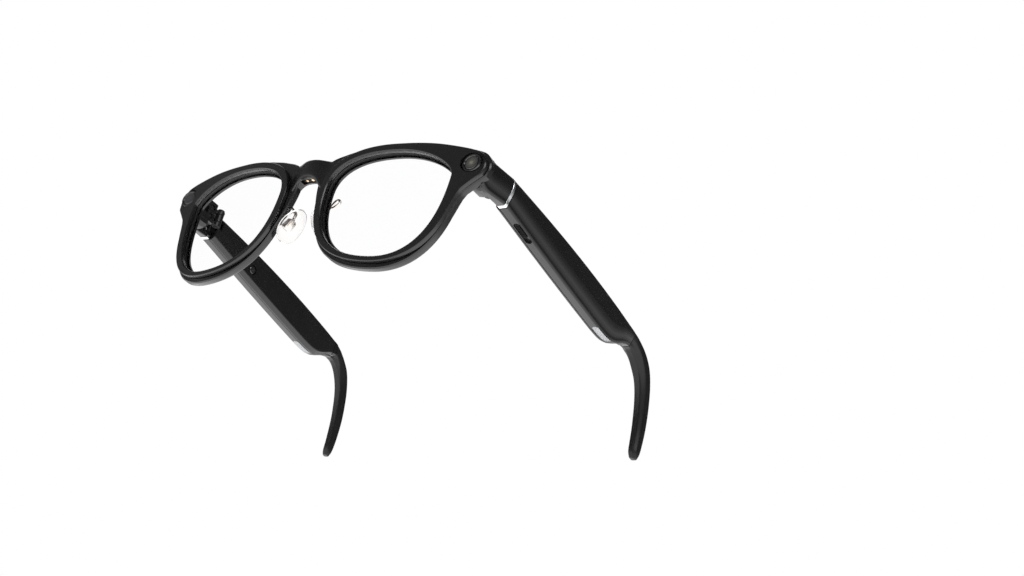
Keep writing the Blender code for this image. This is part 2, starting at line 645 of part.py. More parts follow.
def front_leaf(name, side):
    """Fixed leaf: a plate in the corner with an upper and a lower knuckle."""
    plate = hinge_block(name, side, (62.7, 14.9, 12.4), (64.3, 20.4, 19.0), STEEL, 0.1)
    for z0, z1 in ((12.4, 14.0), (17.4, 19.0)):
        arm = hinge_block(name + "_arm", side, (61.8, 20.1, z0 + 0.15), (64.0, 22.5, z1 - 0.15), None, 0.12,
                          TOOLS)
        combine(plate, arm, "UNION")
        knuckle = turned(name + "_knuckle", (side * AXIS_X, AXIS_Y, 0), (0, 0, 1),
                         ((0, z0), (1.6, z0), (1.6, z1), (0, z1)), None, 16, TOOLS)
        combine(plate, knuckle, "UNION")
    bore = turned(name + "_bore", (side * AXIS_X, AXIS_Y, 0), (0, 0, 1),
                  ((0, 9.0), (0.85, 9.0), (0.85, 21.0), (0, 21.0)), None, 12, TOOLS)
    combine(plate, bore, "DIFFERENCE")
    for z in SCREW_HEIGHTS:
        hole = turned(name + "_hole", (side * 60.0, 17.0, z), (side, 0, 0),
                      ((0, 1.0), (0.8, 1.0), (0.8, 6.0), (0, 6.0)), None, 12, TOOLS)
        combine(plate, hole, "DIFFERENCE")
    return plate


def hinge_pin(name, side):
    return turned(name, (side * AXIS_X, AXIS_Y, 0), (0, 0, 1),
                  ((0, 12.2), (0.55, 12.2), (0.6, 12.4), (0.6, 19.3), (1.35, 19.3), (1.35, 19.6),
                   (0.9, 19.85),
                   (0, 19.85)), CHROME, 16)


def leaf_screw(name, side, z):
    return turned(name, (side * 60.0, 17.0, z), (side, 0, 0),
                  ((0, 1.3), (0.85, 1.3), (0.85, 2.2), (0.55, 2.4), (0.55, 5.2), (0, 5.4)), STEEL, 12)


# ---- temples: built straight, then splayed about the hinge axis ----
def splay(side, p):
    """Left temple layout to its place: turn about the hinge axis, then mirror for the right side."""
    x, y, z = p[0] - AXIS_X, p[1] - AXIS_Y, p[2]
    c, s = math.cos(FLARE), math.sin(FLARE)
    return (side * (AXIS_X + c * x + s * y), AXIS_Y - s * x + c * y, z)


def temple_loft(name, side, sections, mat, collection=None, closed=False):
    rows = [[splay(side, p) for p in row] for row in sections]
    return loft(name, rows, mat, collection, closed)


def temple_block(name, side, low, high, mat, chamfer=0.3, collection=None):
    (x0, y0, z0), (x1, y1, z1) = low, high
    c = chamfer
    outline = [(x0, z0 + c), (x0 + c, z0), (x1 - c, z0), (x1, z0 + c),
               (x1, z1 - c), (x1 - c, z1), (x0 + c, z1), (x0, z1 - c)]
    return temple_loft(name, side, [[(x, y, z) for x, z in outline] for y in (y0, y1)], mat, collection)


def temple_heights(y):
    return interpolate(TOP_LINE, y), interpolate(BOTTOM_LINE, y)


def sloped_block(name, side, x0, x1, y0, y1, above, height, mat, steps=2, chamfer=0.4):
    """A cell or board that follows the temple: it stands this far above its floor."""
    rows = []
    for i in range(steps + 1):
        y = y0 + (y1 - y0) * i / steps
        start, end = interpolate(BOTTOM_LINE, y0), interpolate(BOTTOM_LINE, y1)
        z = start + (end - start) * i / steps
        low, high = z + above, z + above + height
        c = chamfer
        rows.append([(x, y, w) for x, w in ((x0, low + c), (x0 + c, low), (x1 - c, low), (x1, low + c),
                                            (x1, high - c), (x1 - c, high), (x0 + c, high), (x0, high - c))])
    return temple_loft(name, side, rows, mat)


SHELL_STATIONS = (25.3, 30.0, 38.0, 48.0, 58.0, 68.0, 78.0, 87.0, 94.0, 99.0, 102.0, 104.5, 107.0,
                  109.5, 112.0, 114.2, SHELL_BACK)


def oval_strip(name, side, grow, low, high, mat, collection=None):
    """The grille or the slot it fills, following the underside."""
    y0, y1 = GRILLE_FRONT - grow + 0.02, GRILLE_BACK + grow - 0.02
    r = 1.35 + grow
    mid = (y0 + y1) / 2
    straight = (y1 - y0) / 2 - r
    cut = [0.995, 0.9, 0.72, 0.45, 0.0]
    ys = [mid - straight - r * c for c in cut] + [mid - straight / 2, mid, mid + straight / 2]
    ys += [mid + straight + r * c for c in reversed(cut)]
    rows = []
    for y in ys:
        d = max(abs(y - mid) - straight, 0.0)
        w = math.sqrt(max(r * r - d * d, 1e-4))
        z = interpolate(BOTTOM_LINE, y)
        rows.append([(GRILLE_X - w, y, z + low), (GRILLE_X + w, y, z + low), (GRILLE_X + w, y, z + high),
                     (GRILLE_X - w, y, z + high)])
    return temple_loft(name, side, rows, mat, collection)


def bulkhead(name, side, y0, y1, inner):
    """A wall across the temple, reaching in to the given x."""
    rows = []
    for y in (y0, y1):
        top, bottom = temple_heights(y)
        h = top - bottom
        section = ((inner, bottom + 1.4), (inner + 0.5, bottom + 0.55), (inner + 2.4, bottom + 0.4),
                   (OUTER_X - 1.7, bottom + 0.6), (OUTER_X - 0.6, bottom + 0.45 * h),
                   (OUTER_X - 0.8, top - 0.3 * h),
                   (OUTER_X - 1.8, top - 0.6), (inner + 2.4, top - 0.55), (inner + 0.5, top - 0.95),
                   (inner, top - 1.9))
        rows.append([(x, y, z) for x, z in section])
    return temple_loft(name, side, rows, None, TOOLS)


def temple_shell(name, side):
    rows = []
    for y in SHELL_STATIONS:
        top, bottom = temple_heights(y)
        rows.append([(x, y, z) for x, z in shell_section(top, bottom, OUTER_X)])
    shell = temple_loft(name, side, rows, BLACK)
    combine(shell, bulkhead(name + "_front_wall", side, SHELL_FRONT + 0.15, SHELL_FRONT + 1.3, PART_X + 0.1),
            "UNION")
    combine(shell, bulkhead(name + "_rear_wall", side, 114.0, SHELL_BACK - 0.1, COVER_X + 0.1), "UNION")
    notch = temple_block(name + "_notch", side, (64.0, 24.0, 13.9), (67.9, 30.0, 17.5), None, 0.1, TOOLS)
    combine(shell, notch, "DIFFERENCE")
    combine(shell, oval_strip(name + "_slot", side, GAP, -3.0, 3.0, None, TOOLS), "DIFFERENCE")
    if side > 0:
        combine(shell, switch_shape(name + "_pocket", side, SWITCH_FRONT, SWITCH_BACK, 1.15, -3.0, 0.95, None,
                                    TOOLS),
                "DIFFERENCE")
    return shell


def inner_cover(name, side):
    rows = []
    for y in (25.6, 30.0, 38.0, 48.0, 58.0, 68.0, 78.0, 87.0, 94.0, 99.0, 102.0, 104.5, 107.0, 109.5, 112.0,
              113.6):
        top, bottom = temple_heights(y)
        a, b = PART_X - GAP, COVER_X
        section = ((a, bottom + 0.25), (a - 0.35, bottom + 0.2), (b + 0.5, bottom + 1.0), (b, bottom + 1.9),
                   (b, top - 2.2), (b + 0.35, top - 1.3), (a - 0.4, top - 0.85), (a, top - 0.95))
        rows.append([(x, y, z) for x, z in section])
    cover = temple_loft(name, side, rows, BLACK)
    notch = temple_block(name + "_notch", side, (63.0, 24.0, 13.9), (67.9, 28.0, 17.5), None, 0.1, TOOLS)
    combine(cover, notch, "DIFFERENCE")
    if side < 0:
        hole = turned(name + "_sensor_hole", splay(side, (COVER_X - 1.0, SENSOR_Y, SENSOR_Z)),
                      sensor_axis(side),
                      ((0, 0), (1.95, 0.0), (1.95, 3.3), (0, 3.3)), None, 24, TOOLS)
        combine(cover, hole, "DIFFERENCE")
    return cover


def sensor_axis(side):
    return (side * math.cos(FLARE), -math.sin(FLARE), 0.0)


def collar(name, side):
    rows = []
    for y in (COLLAR_FRONT, COLLAR_BACK):
        top, bottom = temple_heights(y)
        rows.append([(x, y, z) for x, z in shell_section(top + 0.03, bottom - 0.03, OUTER_X + 0.03)])
    return temple_loft(name, side, rows, SILVER)


def temple_leaf(name, side):
    """Moving leaf: a knuckle between the two fixed ones and a plate into the temple."""
    knuckle = turned(name, (side * AXIS_X, AXIS_Y, 0), (0, 0, 1),
                     ((0, 14.3), (1.6, 14.3), (1.6, 17.1), (0, 17.1)),
                     STEEL, 16)
    arm = temple_loft(name + "_arm", side,
                      [[(x, y, z) for x, y in ((62.3, 22.0), (63.4, 22.6), (66.6, 25.2), (67.6, 26.2), (67.6, 33.0),
                                               (66.8, 33.0), (66.8, 26.6), (64.6, 24.9), (62.3, 23.6))]
                       for z in (14.35, 17.05)], None, TOOLS)
    combine(knuckle, arm, "UNION")
    bore = turned(name + "_bore", (side * AXIS_X, AXIS_Y, 0), (0, 0, 1),
                  ((0, 9.0), (0.85, 9.0), (0.85, 21.0), (0, 21.0)), None, 12, TOOLS)
    return combine(knuckle, bore, "DIFFERENCE")


def hook_section(row, squeeze=1.0, inset=0.0):
    """Rounded box between the lower and the upper edge of the ear hook."""
    ly, lz, uy, uz, xi, xo = row
    low, high = Vector((0, ly, lz)), Vector((0, uy, uz))
    d = (high - low)
    size = d.length
    d.normalize()
    low, high = low + d * inset, high - d * inset
    xi, xo = xi + inset, xo - inset
    r = min(0.9, size * 0.24, (xo - xi) * 0.24) * squeeze
    out = []
    for x, e, sx, se in ((xi, low, 1, 1), (xo, low, -1, 1), (xo, high, -1, -1), (xi, high, 1, -1)):
        corner = [(x, se * r), (x + sx * r * 0.3, se * r * 0.3), (x + sx * r, 0.0)]
        if sx * se < 0:
            corner.reverse()
        out += [(cx, (e + d * cd).y, (e + d * cd).z) for cx, cd in corner]
    return out


def temple_tip(name, side):
    hook = temple_loft(name, side, [hook_section(r) for r in spline(HOOK, 2)], SOFT)
    path = []
    for ly, lz, uy, uz, xi, xo in HOOK[:1] + HOOK[2:10]:
        path.append(((xi + xo) / 2 + 0.2, (ly + uy) / 2, (lz + uz) / 2))
    start = Vector(path[0])
    bore_path = [start + Vector((0, -2.0, 0.1))] + path
    bore = tube(name + "_bore", [splay(side, p) for p in spline(bore_path, 2)], 0.95, None, TOOLS)
    combine(hook, bore, "DIFFERENCE")
    return path


def tip_core(name, side, path):
    pts = list(path)
    pts[-1] = Vector(pts[-1]) * 0.25 + Vector(pts[-2]) * 0.75
    return tube(name, [splay(side, p) for p in spline(pts, 2)], 0.55, STEEL)


def switch_shape(name, side, y0, y1, half, low, high, mat, collection=None, ribs=0):
    """A round-ended bar on the underside: the slider, or its pocket."""
    rows = []
    mid0, mid1 = y0 + half, y1 - half
    z0, z1 = interpolate(BOTTOM_LINE, SWITCH_FRONT), interpolate(BOTTOM_LINE, SWITCH_BACK)
    slope = (z1 - z0) / (SWITCH_BACK - SWITCH_FRONT)
    ys = [mid0 - half * c for c in (0.98, 0.85, 0.6, 0.3, 0.0)]
    count = max(ribs * 4, 1)
    ys += [mid0 + (mid1 - mid0) * (k + 1) / count for k in range(count - 1)]
    ys += [mid1 + half * c for c in (0.0, 0.3, 0.6, 0.85, 0.98)]
    for k, y in enumerate(ys):
        d = max(mid0 - y, y - mid1, 0.0)
        w = math.sqrt(max(half * half - d * d, 1e-4))
        z = z0 + slope * (y - SWITCH_FRONT)
        wave = -0.28 if ribs and mid0 < y < mid1 and (k - 5) % 4 in (1, 2) else 0.0
        rows.append([(SWITCH_X - w, y, z + low + wave), (SWITCH_X + w, y, z + low + wave),
                     (SWITCH_X + w, y, z + high), (SWITCH_X - w, y, z + high)])
    return temple_loft(name, side, rows, mat, collection)


def temple(side, hand):
    temple_shell("temple_shell_" + hand, side)
    inner_cover("temple_cover_" + hand, side)
    collar("temple_collar_" + hand, side)
    temple_leaf("temple_leaf_" + hand, side)
    path = temple_tip("temple_tip_" + hand, side)
    tip_core("tip_core_" + hand, side, path)
    oval_strip("speaker_grille_" + hand, side, 0.0, 0.12, 0.62, SILVER)
    sloped_block("battery_" + hand, side, 66.5, 68.8, 40.0 if side > 0 else 36.0, 62.0, 2.9, 6.3, CELL)
    sloped_block("speaker_" + hand, side, 66.5, 68.8, 92.5, 103.0, 3.6, 6.4, DARK_METAL)
    if side > 0:
        switch_shape("slide_switch", side, SWITCH_FRONT + 0.3, SWITCH_BACK - 0.3 - SWITCH_TRAVEL, 0.85, 0.02,
                     0.65,
                     BLACK, ribs=6)
        sloped_block("main_board", side, 67.2, 68.2, 64.0, 90.0, 2.9, 8.2, BOARD)
        sloped_block("processor", side, 66.3, 66.9, 70.0, 78.0, 4.0, 6.0, DARK_METAL, chamfer=0.15)
    else:
        turned("wear_sensor", splay(side, (COVER_X + 0.1, SENSOR_Y, SENSOR_Z)), sensor_axis(side),
               ((0, 0), (1.5, 0.0), (1.65, 0.15), (1.65, 1.2), (0, 1.2)), SMOKED, 24)
        sloped_block("power_board", side, 67.2, 68.2, 64.0, 86.0, 2.9, 8.2, BOARD)


# ---- build ----
TEMPLE_PIECES = ("temple_", "tip_core_", "speaker_", "battery_")


def hold(axis_name, place, names):
    """Parent the pieces of a moving body to an empty on its joint's axis."""
    pivot = bpy.data.objects.new(axis_name, None)
    PARTS.objects.link(pivot)
    pivot.location = placed(place)
    for name in names:
        piece = bpy.data.objects[name]
        piece.parent = pivot
        piece.matrix_parent_inverse = Matrix.Translation(-pivot.location)


for side, hand in ((1, "left"), (-1, "right")):
    front_plate("front_plate_" + hand, side)
    lens("lens_" + hand, side)
    nose_pad("nose_pad_" + hand, side)
    pad_box("nose_pad_mount_" + hand, side)
    pad_arm("nose_pad_arm_" + hand, side)
    front_leaf("front_leaf_" + hand, side)
    hinge_pin("hinge_pin_" + hand, side)
    leaf_screw("hinge_screw_lower_" + hand, side, SCREW_HEIGHTS[0])
    leaf_screw("hinge_screw_upper_" + hand, side, SCREW_HEIGHTS[1])
    temple(side, hand)
    folding = [o.name for o in PARTS.objects
               if o.name.endswith("_" + hand) and o.name.startswith(TEMPLE_PIECES)]
    folding += ["main_board", "processor"] if side > 0 else ["wear_sensor", "power_board"]
    hold("temple_fold_axis_" + hand, (side * AXIS_X, AXIS_Y, 0.0), folding)
    hold("pad_rock_axis_" + hand, (side * PAD_CENTRE[0], PAD_CENTRE[1], PAD_CENTRE[2]), ["nose_pad_" + hand])
hold("power_slide_axis", splay(1, (SWITCH_X, SWITCH_FRONT, interpolate(BOTTOM_LINE, SWITCH_FRONT))),
     ["slide_switch"])
front_frame()
camera_parts()
indicator_parts()
contacts()
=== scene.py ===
"""The smart glasses' looks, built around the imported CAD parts. Lengths are in millimetres until make()."""

import json
from math import atan2, copysign, cos, hypot, pi, radians, sin, sqrt

import bmesh
import bpy
from mathutils import Matrix, Vector

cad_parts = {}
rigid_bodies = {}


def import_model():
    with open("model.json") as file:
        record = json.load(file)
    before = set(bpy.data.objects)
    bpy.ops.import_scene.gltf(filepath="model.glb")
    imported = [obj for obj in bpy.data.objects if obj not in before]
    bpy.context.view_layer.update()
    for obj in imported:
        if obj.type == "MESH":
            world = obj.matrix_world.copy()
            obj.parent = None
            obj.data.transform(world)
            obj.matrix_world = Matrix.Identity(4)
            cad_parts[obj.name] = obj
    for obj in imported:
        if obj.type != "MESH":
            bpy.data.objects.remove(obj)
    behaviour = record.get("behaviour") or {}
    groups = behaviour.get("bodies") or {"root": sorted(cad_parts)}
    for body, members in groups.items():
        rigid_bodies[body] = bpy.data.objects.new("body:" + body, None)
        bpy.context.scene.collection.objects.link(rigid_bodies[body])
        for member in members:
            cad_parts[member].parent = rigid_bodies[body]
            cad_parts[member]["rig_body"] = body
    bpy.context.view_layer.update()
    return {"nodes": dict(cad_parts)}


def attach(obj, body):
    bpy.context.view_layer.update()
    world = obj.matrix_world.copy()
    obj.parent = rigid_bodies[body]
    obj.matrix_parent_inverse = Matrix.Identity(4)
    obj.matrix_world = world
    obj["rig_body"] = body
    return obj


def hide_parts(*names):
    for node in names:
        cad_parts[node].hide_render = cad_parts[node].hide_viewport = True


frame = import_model()
NODES = frame["nodes"]
MM = 0.001
UP = Vector((0.0, 0.0, 1.0))
FORE = (0.0, 1.0, 0.0)  # the way the eyes' bores run, from the front into the frame
QUARTER = pi / 2
TINY = 1e-9
MERGE = 1e-6  # metres between points that become one
SMOOTH = 35.0  # degrees between faces beyond which an edge is sharp
FRONT_SMOOTH = 28.0
TEMPLE_SMOOTH = 30.0

# ---- driving dimensions, as in the CAD ----
DATUM = Vector((0.0, 2.3, 12.7))  # the charging face, where the model has its origin
WRAP = 0.00170  # the front curves back by WRAP * x * x
LENS_KNOTS = ((34.9, 20.85), (57.8, 10.75), (37.5, -20.85), (10.6, 7.05))  # top, temporal, bottom, nasal (x, z)
LENS_HANDLES = ((0.64, 0.30), (0.59, 0.71), (0.66, 0.65), (0.63, 0.69))  # of the four arcs between them
OUTLINE_STEPS = 30  # points in each of the four arcs of the outline

PLATE_RIM = (2.8, 2.2, 3.5, 3.2)  # raised rim width: nasal, bottom, temporal, top
FRAME_RIM = (3.3, 4.0, 3.6, 3.75)  # rear frame width, same order
PLATE_BACK = 1.5  # depth of the back of the front plates
FRAME_FRONT = 1.8  # depth of the front of the rear frame
REBATE_FLOOR = 3.5  # the lens sits in front of this
FRAME_BACK = 4.7
SCREW_HEIGHTS = (13.9, 17.5)  # of the two screws in each hinge leaf
LIP = 0.6  # how far the rear lip stands inside the opening
LENS_FRONT = 1.85
LENS_BACK = 3.15
LENS_X = 35.5  # middle of the lens
ROUND_STEPS = 7  # facets around the edge of a front plate

CORNER = ((35.2, 24.05), (41.8, 24.02), (49.0, 23.6), (56.5, 22.5), (63.6, 21.0), (67.0, 19.35),
          (68.85, 16.3), (68.9, 12.9), (67.6, 10.2), (65.3, 8.3), (63.3, 6.4), (61.95, 3.8), (61.15, 1.2),
          (60.55, -1.2), (59.85, -3.56))
FRAME_CORNER = ((35.2, 24.6), (41.8, 24.6), (49.2, 24.2), (56.8, 23.2), (64.0, 21.8), (67.7, 20.2),
                (69.65, 16.7), (69.5, 12.8), (67.9, 10.0), (65.5, 8.1), (63.5, 6.3), (62.1, 3.7), (61.32, 1.1),
                (60.7, -1.3), (60.03, -3.59))
SHOULDER = ((31.5, 24.53), (24.0, 24.3), (20.0, 23.6), (16.0, 22.8), (12.5, 21.8), (9.6, 20.9), (7.0, 19.2),
            (5.2, 14.6), (4.7, 10.8), (5.1, 7.0), (6.3, 2.0), (8.3, -4.0), (10.6, -9.0))
EYE_X = 63.9  # centre of the camera and of the indicator
EYE_Z = 15.5
EYE_BORE = 3.85
EYE_RING = 3.55
EYE_GLASS = 2.5

AXIS_X = 62.3  # hinge axis
AXIS_Y = 22.4
FLARE = radians(2.9)  # the open temples splay outwards by this much
FOLD_SEAM = 23.1  # the endpiece ends here
COLLAR_FRONT = 23.7
COLLAR_BACK = 25.0
SHELL_FRONT = 25.3
SHELL_BACK = 116.4
TOP_LINE = ((20.0, 19.9), (24.0, 19.75), (30.0, 19.6), (48.0, 18.9), (66.0, 17.75), (84.5, 16.05),
            (103.0, 13.8), (111.0, 12.6), (117.0, 11.5), (121.0, 10.3))
BOTTOM_LINE = ((20.0, 8.9), (24.0, 8.7), (48.0, 5.3), (66.0, 2.9), (84.0, 0.7), (95.0, -0.5), (101.0, -0.7),
               (105.0, 0.1), (108.5, 1.6), (111.5, 3.2), (114.5, 4.3), (117.0, 4.6), (121.0, 4.4))
OUTER_X = 71.0  # outer side of the temple
PART_X = 66.2  # where the outer shell meets the inner cover
COVER_X = 64.2  # inner face of the temple
WALL = 1.3
FULL_HEIGHT = 10.5  # a lower temple has a lower bulge
BULGE = ((0.0, 7.4), (0.05, 6.3), (0.23, 5.1), (0.51, 4.0), (0.88, 2.95), (1.18, 1.9))  # in from the side, up
ROOT_STATIONS = ((9.6, 11.4, 68.6), (11.3, 9.7, 68.9), (12.3, 8.8, 69.2), (13.5, 8.25, 69.4),
                 (17.4, 8.5, 70.0))  # depth, bottom and outer side of the web inside the endpiece

HOOK = (  # lower edge y z, upper edge y z, inner x, outer x
    (116.8, 4.5, 116.8, 11.5, 64.3, 71.0),
    (118.3, 4.35, 118.9, 10.95, 64.6, 71.05),
    (119.6, 3.9, 121.0, 10.1, 64.9, 71.1),
    (122.1, 2.6, 125.4, 8.0, 65.6, 71.2),
    (125.1, -0.1, 129.2, 5.3, 66.2, 71.2),
    (127.9, -3.7, 132.3, 1.6, 66.7, 71.2),
    (129.7, -7.7, 134.8, -3.7, 66.9, 71.1),
    (131.0, -12.3, 136.4, -9.5, 67.0, 71.0),
    (132.0, -17.3, 137.4, -15.6, 67.0, 70.9),
    (132.6, -22.8, 137.8, -21.7, 67.1, 70.8),
    (132.9, -27.7, 137.6, -27.8, 67.1, 70.7),
    (133.1, -31.2, 137.1, -31.6, 67.2, 70.6),
    (133.7, -33.3, 136.5, -33.6, 67.6, 70.2),
)

HOOK_BLEND = 34  # sections over which the hook leaves the temple's outline
HOOK_POINTS = 96

PAD_CENTRE = (5.7, 6.9, -2.65)
PAD_LENGTH = 14.2
PAD_WIDTH = 9.6
PAD_TAPER = 0.13
PAD_PROFILE = ((0.0, 0.70), (0.3, 0.69), (0.62, 0.58), (0.85, 0.36), (0.97, 0.05), (1.0, -0.28), (0.95, -0.56),
               (0.80, -0.71), (0.5, -0.73), (0.0, -0.73))  # share of the half width, depth
MOUNT_DEPTH = 2.35
MOUNT_HALF = 2.1  # half the length of the box behind the pad
ARM_PATH = ((9.36, 5.17, 2.6), (9.20, 5.8, 2.6), (9.06, 6.45, 2.65), (9.6, 7.1, 3.2), (11.2, 7.3, 4.2),
            (12.4, 7.2, 5.3), (11.8, 7.0, 6.3), (10.2, 7.3, 6.1), (8.5, 7.7, 4.6), (7.2, 7.9, 2.8))
PAD_FACE = (-0.93, -0.10, -0.34)  # the way the left pad faces: towards the nose and a little down
PAD_LONG = (-0.35, 0.17, 0.92)  # the long way of the left pad: its top leans in
WIRE_R = 0.45

CONTACT_X = 1.3  # charging contacts either side of the middle
CONTACT_R = 0.6

SWITCH_FRONT = 33.0  # pocket of the sliding switch on the underside of the left temple
SWITCH_BACK = 43.6
SWITCH_X = 68.05
SWITCH_TRAVEL = 2.4
GRILLE_FRONT = 92.3
GRILLE_BACK = 104.3
GRILLE_X = 68.1
SENSOR_Y = 51.3
SENSOR_Z = 10.3
SENSOR_AXIS = (-cos(FLARE), -sin(FLARE), 0.0)

BRIDGE_SWELL_X = 9.4  # the bridge stands forward between these
BRIDGE_TOP = ((0.0, 20.4), (3.0, 20.55), (5.5, 20.5), (7.6, 20.45), (9.6, 20.6), (12.5, 21.3))
BRIDGE_LOW = ((0.0, 12.5), (2.4, 12.25), (4.0, 11.3), (5.3, 9.6), (6.6, 8.2), (8.2, 9.0), (10.4, 12.6),
              (12.5, 15.0))


# ---- mesh helpers ----
def shade(mesh, smooth):
    mesh.shade_smooth()
    mesh.set_sharp_from_angle(angle=radians(smooth))


def stand(name, data):
    obj = bpy.data.objects.new(name, data)
    bpy.context.scene.collection.objects.link(obj)
    return obj


def make(name, verts, faces, mat=None, body=None, smooth=SMOOTH, stands_for=None):
    """A mesh piece from points in millimetres that rides on a body. With no body it is a hidden tool."""
    bm = bmesh.new()
    handles = [bm.verts.new((Vector(v) - DATUM) * MM) for v in verts]
    for f in faces:
        bm.faces.new([handles[i] for i in f])
    bmesh.ops.remove_doubles(bm, verts=bm.verts, dist=MERGE)
    bmesh.ops.recalc_face_normals(bm, faces=bm.faces)
    mesh = bpy.data.meshes.new(name)
    bm.to_mesh(mesh)
    bm.free()
    obj = stand(name, mesh)
    if mat:
        mesh.materials.append(mat)
    shade(mesh, smooth)
    if body:
        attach(obj, body)
        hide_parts(stands_for)
    return obj


def bake(obj, smooth=SMOOTH):
    """Apply the modifiers and drop the tools they used."""
    used = [m.object for m in obj.modifiers if m.type == "BOOLEAN"]
    dg = bpy.context.evaluated_depsgraph_get()
    mesh = bpy.data.meshes.new_from_object(obj.evaluated_get(dg))
    obj.modifiers.clear()
    obj.data = mesh
    shade(mesh, smooth)
    for t in used:
        bpy.data.objects.remove(t)
    return obj


def weigh(obj):
    """Let the large faces keep their own normals, so flats stay flat beside their rounded edges."""
    even = obj.modifiers.new("even", "WEIGHTED_NORMAL")
    even.keep_sharp = True
    return obj


def turn(count):
    """Even angles over a whole turn."""
    return [2 * pi * k / count for k in range(count)]


def combine(obj, operation, *tools):
    """Queue Boolean tools on a piece. bake() applies them."""
    for tool in tools:
        mod = obj.modifiers.new(operation.lower(), "BOOLEAN")
        mod.operation = operation
        mod.solver = "EXACT"
        mod.object = tool
        tool.hide_render = True
    return obj


def loft_faces(rows, count, closed=False):
    faces = []
    for j in range(rows if closed else rows - 1):
        a, b = j * count, (j + 1) % rows * count
        faces += [(a + i, a + (i + 1) % count, b + (i + 1) % count, b + i) for i in range(count)]
    if not closed:
        faces += [tuple(range(count)), tuple(range((rows - 1) * count, rows * count))]
    return faces


def loft(name, sections, mat=None, body=None, closed=False, **look):
    """A skin over rows of points. look is smooth and stands_for, as in make()."""
    verts = [p for s in sections for p in s]
    return make(name, verts, loft_faces(len(sections), len(sections[0]), closed), mat, body, **look)


def cut_corners(low, high, cut):
    """A rectangle with its corners cut, as eight points."""
    (a0, b0), (a1, b1) = low, high
    return [(a0, b0 + cut), (a0 + cut, b0), (a1 - cut, b0), (a1, b0 + cut),
            (a1, b1 - cut), (a1 - cut, b1), (a0 + cut, b1), (a0, b1 - cut)]


def block(name, low, high, cut, mat=None, body=None, **look):
    """A box between two corners with its upright edges cut."""
    outline = cut_corners(low[:2], high[:2], cut)
    return loft(name, [[(x, y, z) for x, y in outline] for z in (low[2], high[2])], mat, body, **look)


def circle(centre, axis, radius, along, steps):
    """Points about an axis, at a distance along it."""
    a = Vector(axis).normalized()
    u = a.orthogonal().normalized()
    v = a.cross(u)
    return [Vector(centre) + a * along + (u * cos(w) + v * sin(w)) * radius for w in turn(steps)]


def turned(name, centre, axis, profile, mat=None, body=None, steps=64, **look):
    """A solid of revolution: profile is (radius, distance along the axis), starting and ending on the axis."""
    verts, rings = [], []
    for r, along in profile:
        points = circle(centre, axis, r, along, steps if r > TINY else 1)
        rings.append(range(len(verts), len(verts) + len(points)))
        verts += points
    faces = []
    for p, q in zip(rings, rings[1:]):
        for i in range(steps):
            n = (i + 1) % steps
            corners = (p[i % len(p)], p[n % len(p)], q[n % len(q)], q[i % len(q)])
            faces.append(list(dict.fromkeys(corners)))  # a triangle where one ring is a point
    return make(name, verts, faces, mat, body, **look)


def interpolate(line, y):
    """Smooth height along a line of (y, z) points."""
    if y <= line[0][0]:
        return line[0][1]
    if y >= line[-1][0]:
        return line[-1][1]
    k = max(i for i in range(len(line) - 1) if line[i][0] <= y)
    p0, p1, p2, p3 = (line[min(max(i, 0), len(line) - 1)] for i in range(k - 1, k + 3))
    m1 = (p2[1] - p0[1]) / (p2[0] - p0[0])
    m2 = (p3[1] - p1[1]) / (p3[0] - p1[0])
    h = p2[0] - p1[0]
    t = (y - p1[0]) / h
    return ((2 * t ** 3 - 3 * t ** 2 + 1) * p1[1] + (t ** 3 - 2 * t ** 2 + t) * h * m1
            + (-2 * t ** 3 + 3 * t ** 2) * p2[1] + (t ** 3 - t ** 2) * h * m2)


def spline(points, per):
    """Catmull-Rom curve through points of any dimension."""
    pts = [Vector(p) for p in points]
    out = []
    for k in range(len(pts) - 1):
        p1, p2 = pts[k], pts[k + 1]
        p0 = pts[k - 1] if k else p1 * 2 - p2
        p3 = pts[k + 2] if k + 2 < len(pts) else p2 * 2 - p1
        for i in range(per):
            t = i / per
            out.append(0.5 * (2 * p1 + (p2 - p0) * t + (2 * p0 - 5 * p1 + 4 * p2 - p3) * t * t
                              + (3 * p1 - p0 - 3 * p2 + p3) * t ** 3))
    out.append(pts[-1])
    return out


def tube(name, path, radius, mat, body, **look):
    """A round wire along a path."""
    sections = []
    side = None
    for i, p in enumerate(path):
        d = (path[min(i + 1, len(path) - 1)] - path[max(i - 1, 0)]).normalized()
        if side is None:
            side = d.cross(UP if abs(d.dot(UP)) < 0.9 else Vector((1.0, 0.0, 0.0)))
        side = (side - d * side.dot(d)).normalized()
        top = d.cross(side)
        sections.append([p + (side * cos(w) + top * sin(w)) * radius for w in turn(16)])
    return loft(name, sections, mat, body, **look)


# ---- outlines of the front ----
def arc(p0, p1, p2, p3, steps):
    """Points of a cubic curve, without its last."""
    return [tuple((1 - t) ** 3 * a + 3 * (1 - t) ** 2 * t * b + 3 * (1 - t) * t * t * c + t ** 3 * d
                  for a, b, c, d in zip(p0, p1, p2, p3)) for t in (i / steps for i in range(steps))]


def opening():
    """The lens opening of the left side as (x, z), starting at the top and going outwards."""
    out = []
    for k, start in enumerate(LENS_KNOTS):
        end = LENS_KNOTS[(k + 1) % 4]
        corner = (start[0], end[1]) if k % 2 else (end[0], start[1])
        handles = [[a + (c - a) * share for a, c in zip(knot, corner)]
                   for knot, share in zip((start, end), LENS_HANDLES[k])]
        out += arc(start, *handles, end, OUTLINE_STEPS)
    return out


def normals(loop):
    """Outward normals of a loop that runs from the top to the temple side and on around."""
    out = []
    for (ax, az), (bx, bz) in zip([loop[-1]] + loop[:-1], loop[1:] + [loop[0]]):
        size = hypot(bx - ax, bz - az)
        out.append(((az - bz) / size, (bx - ax) / size))
    return out


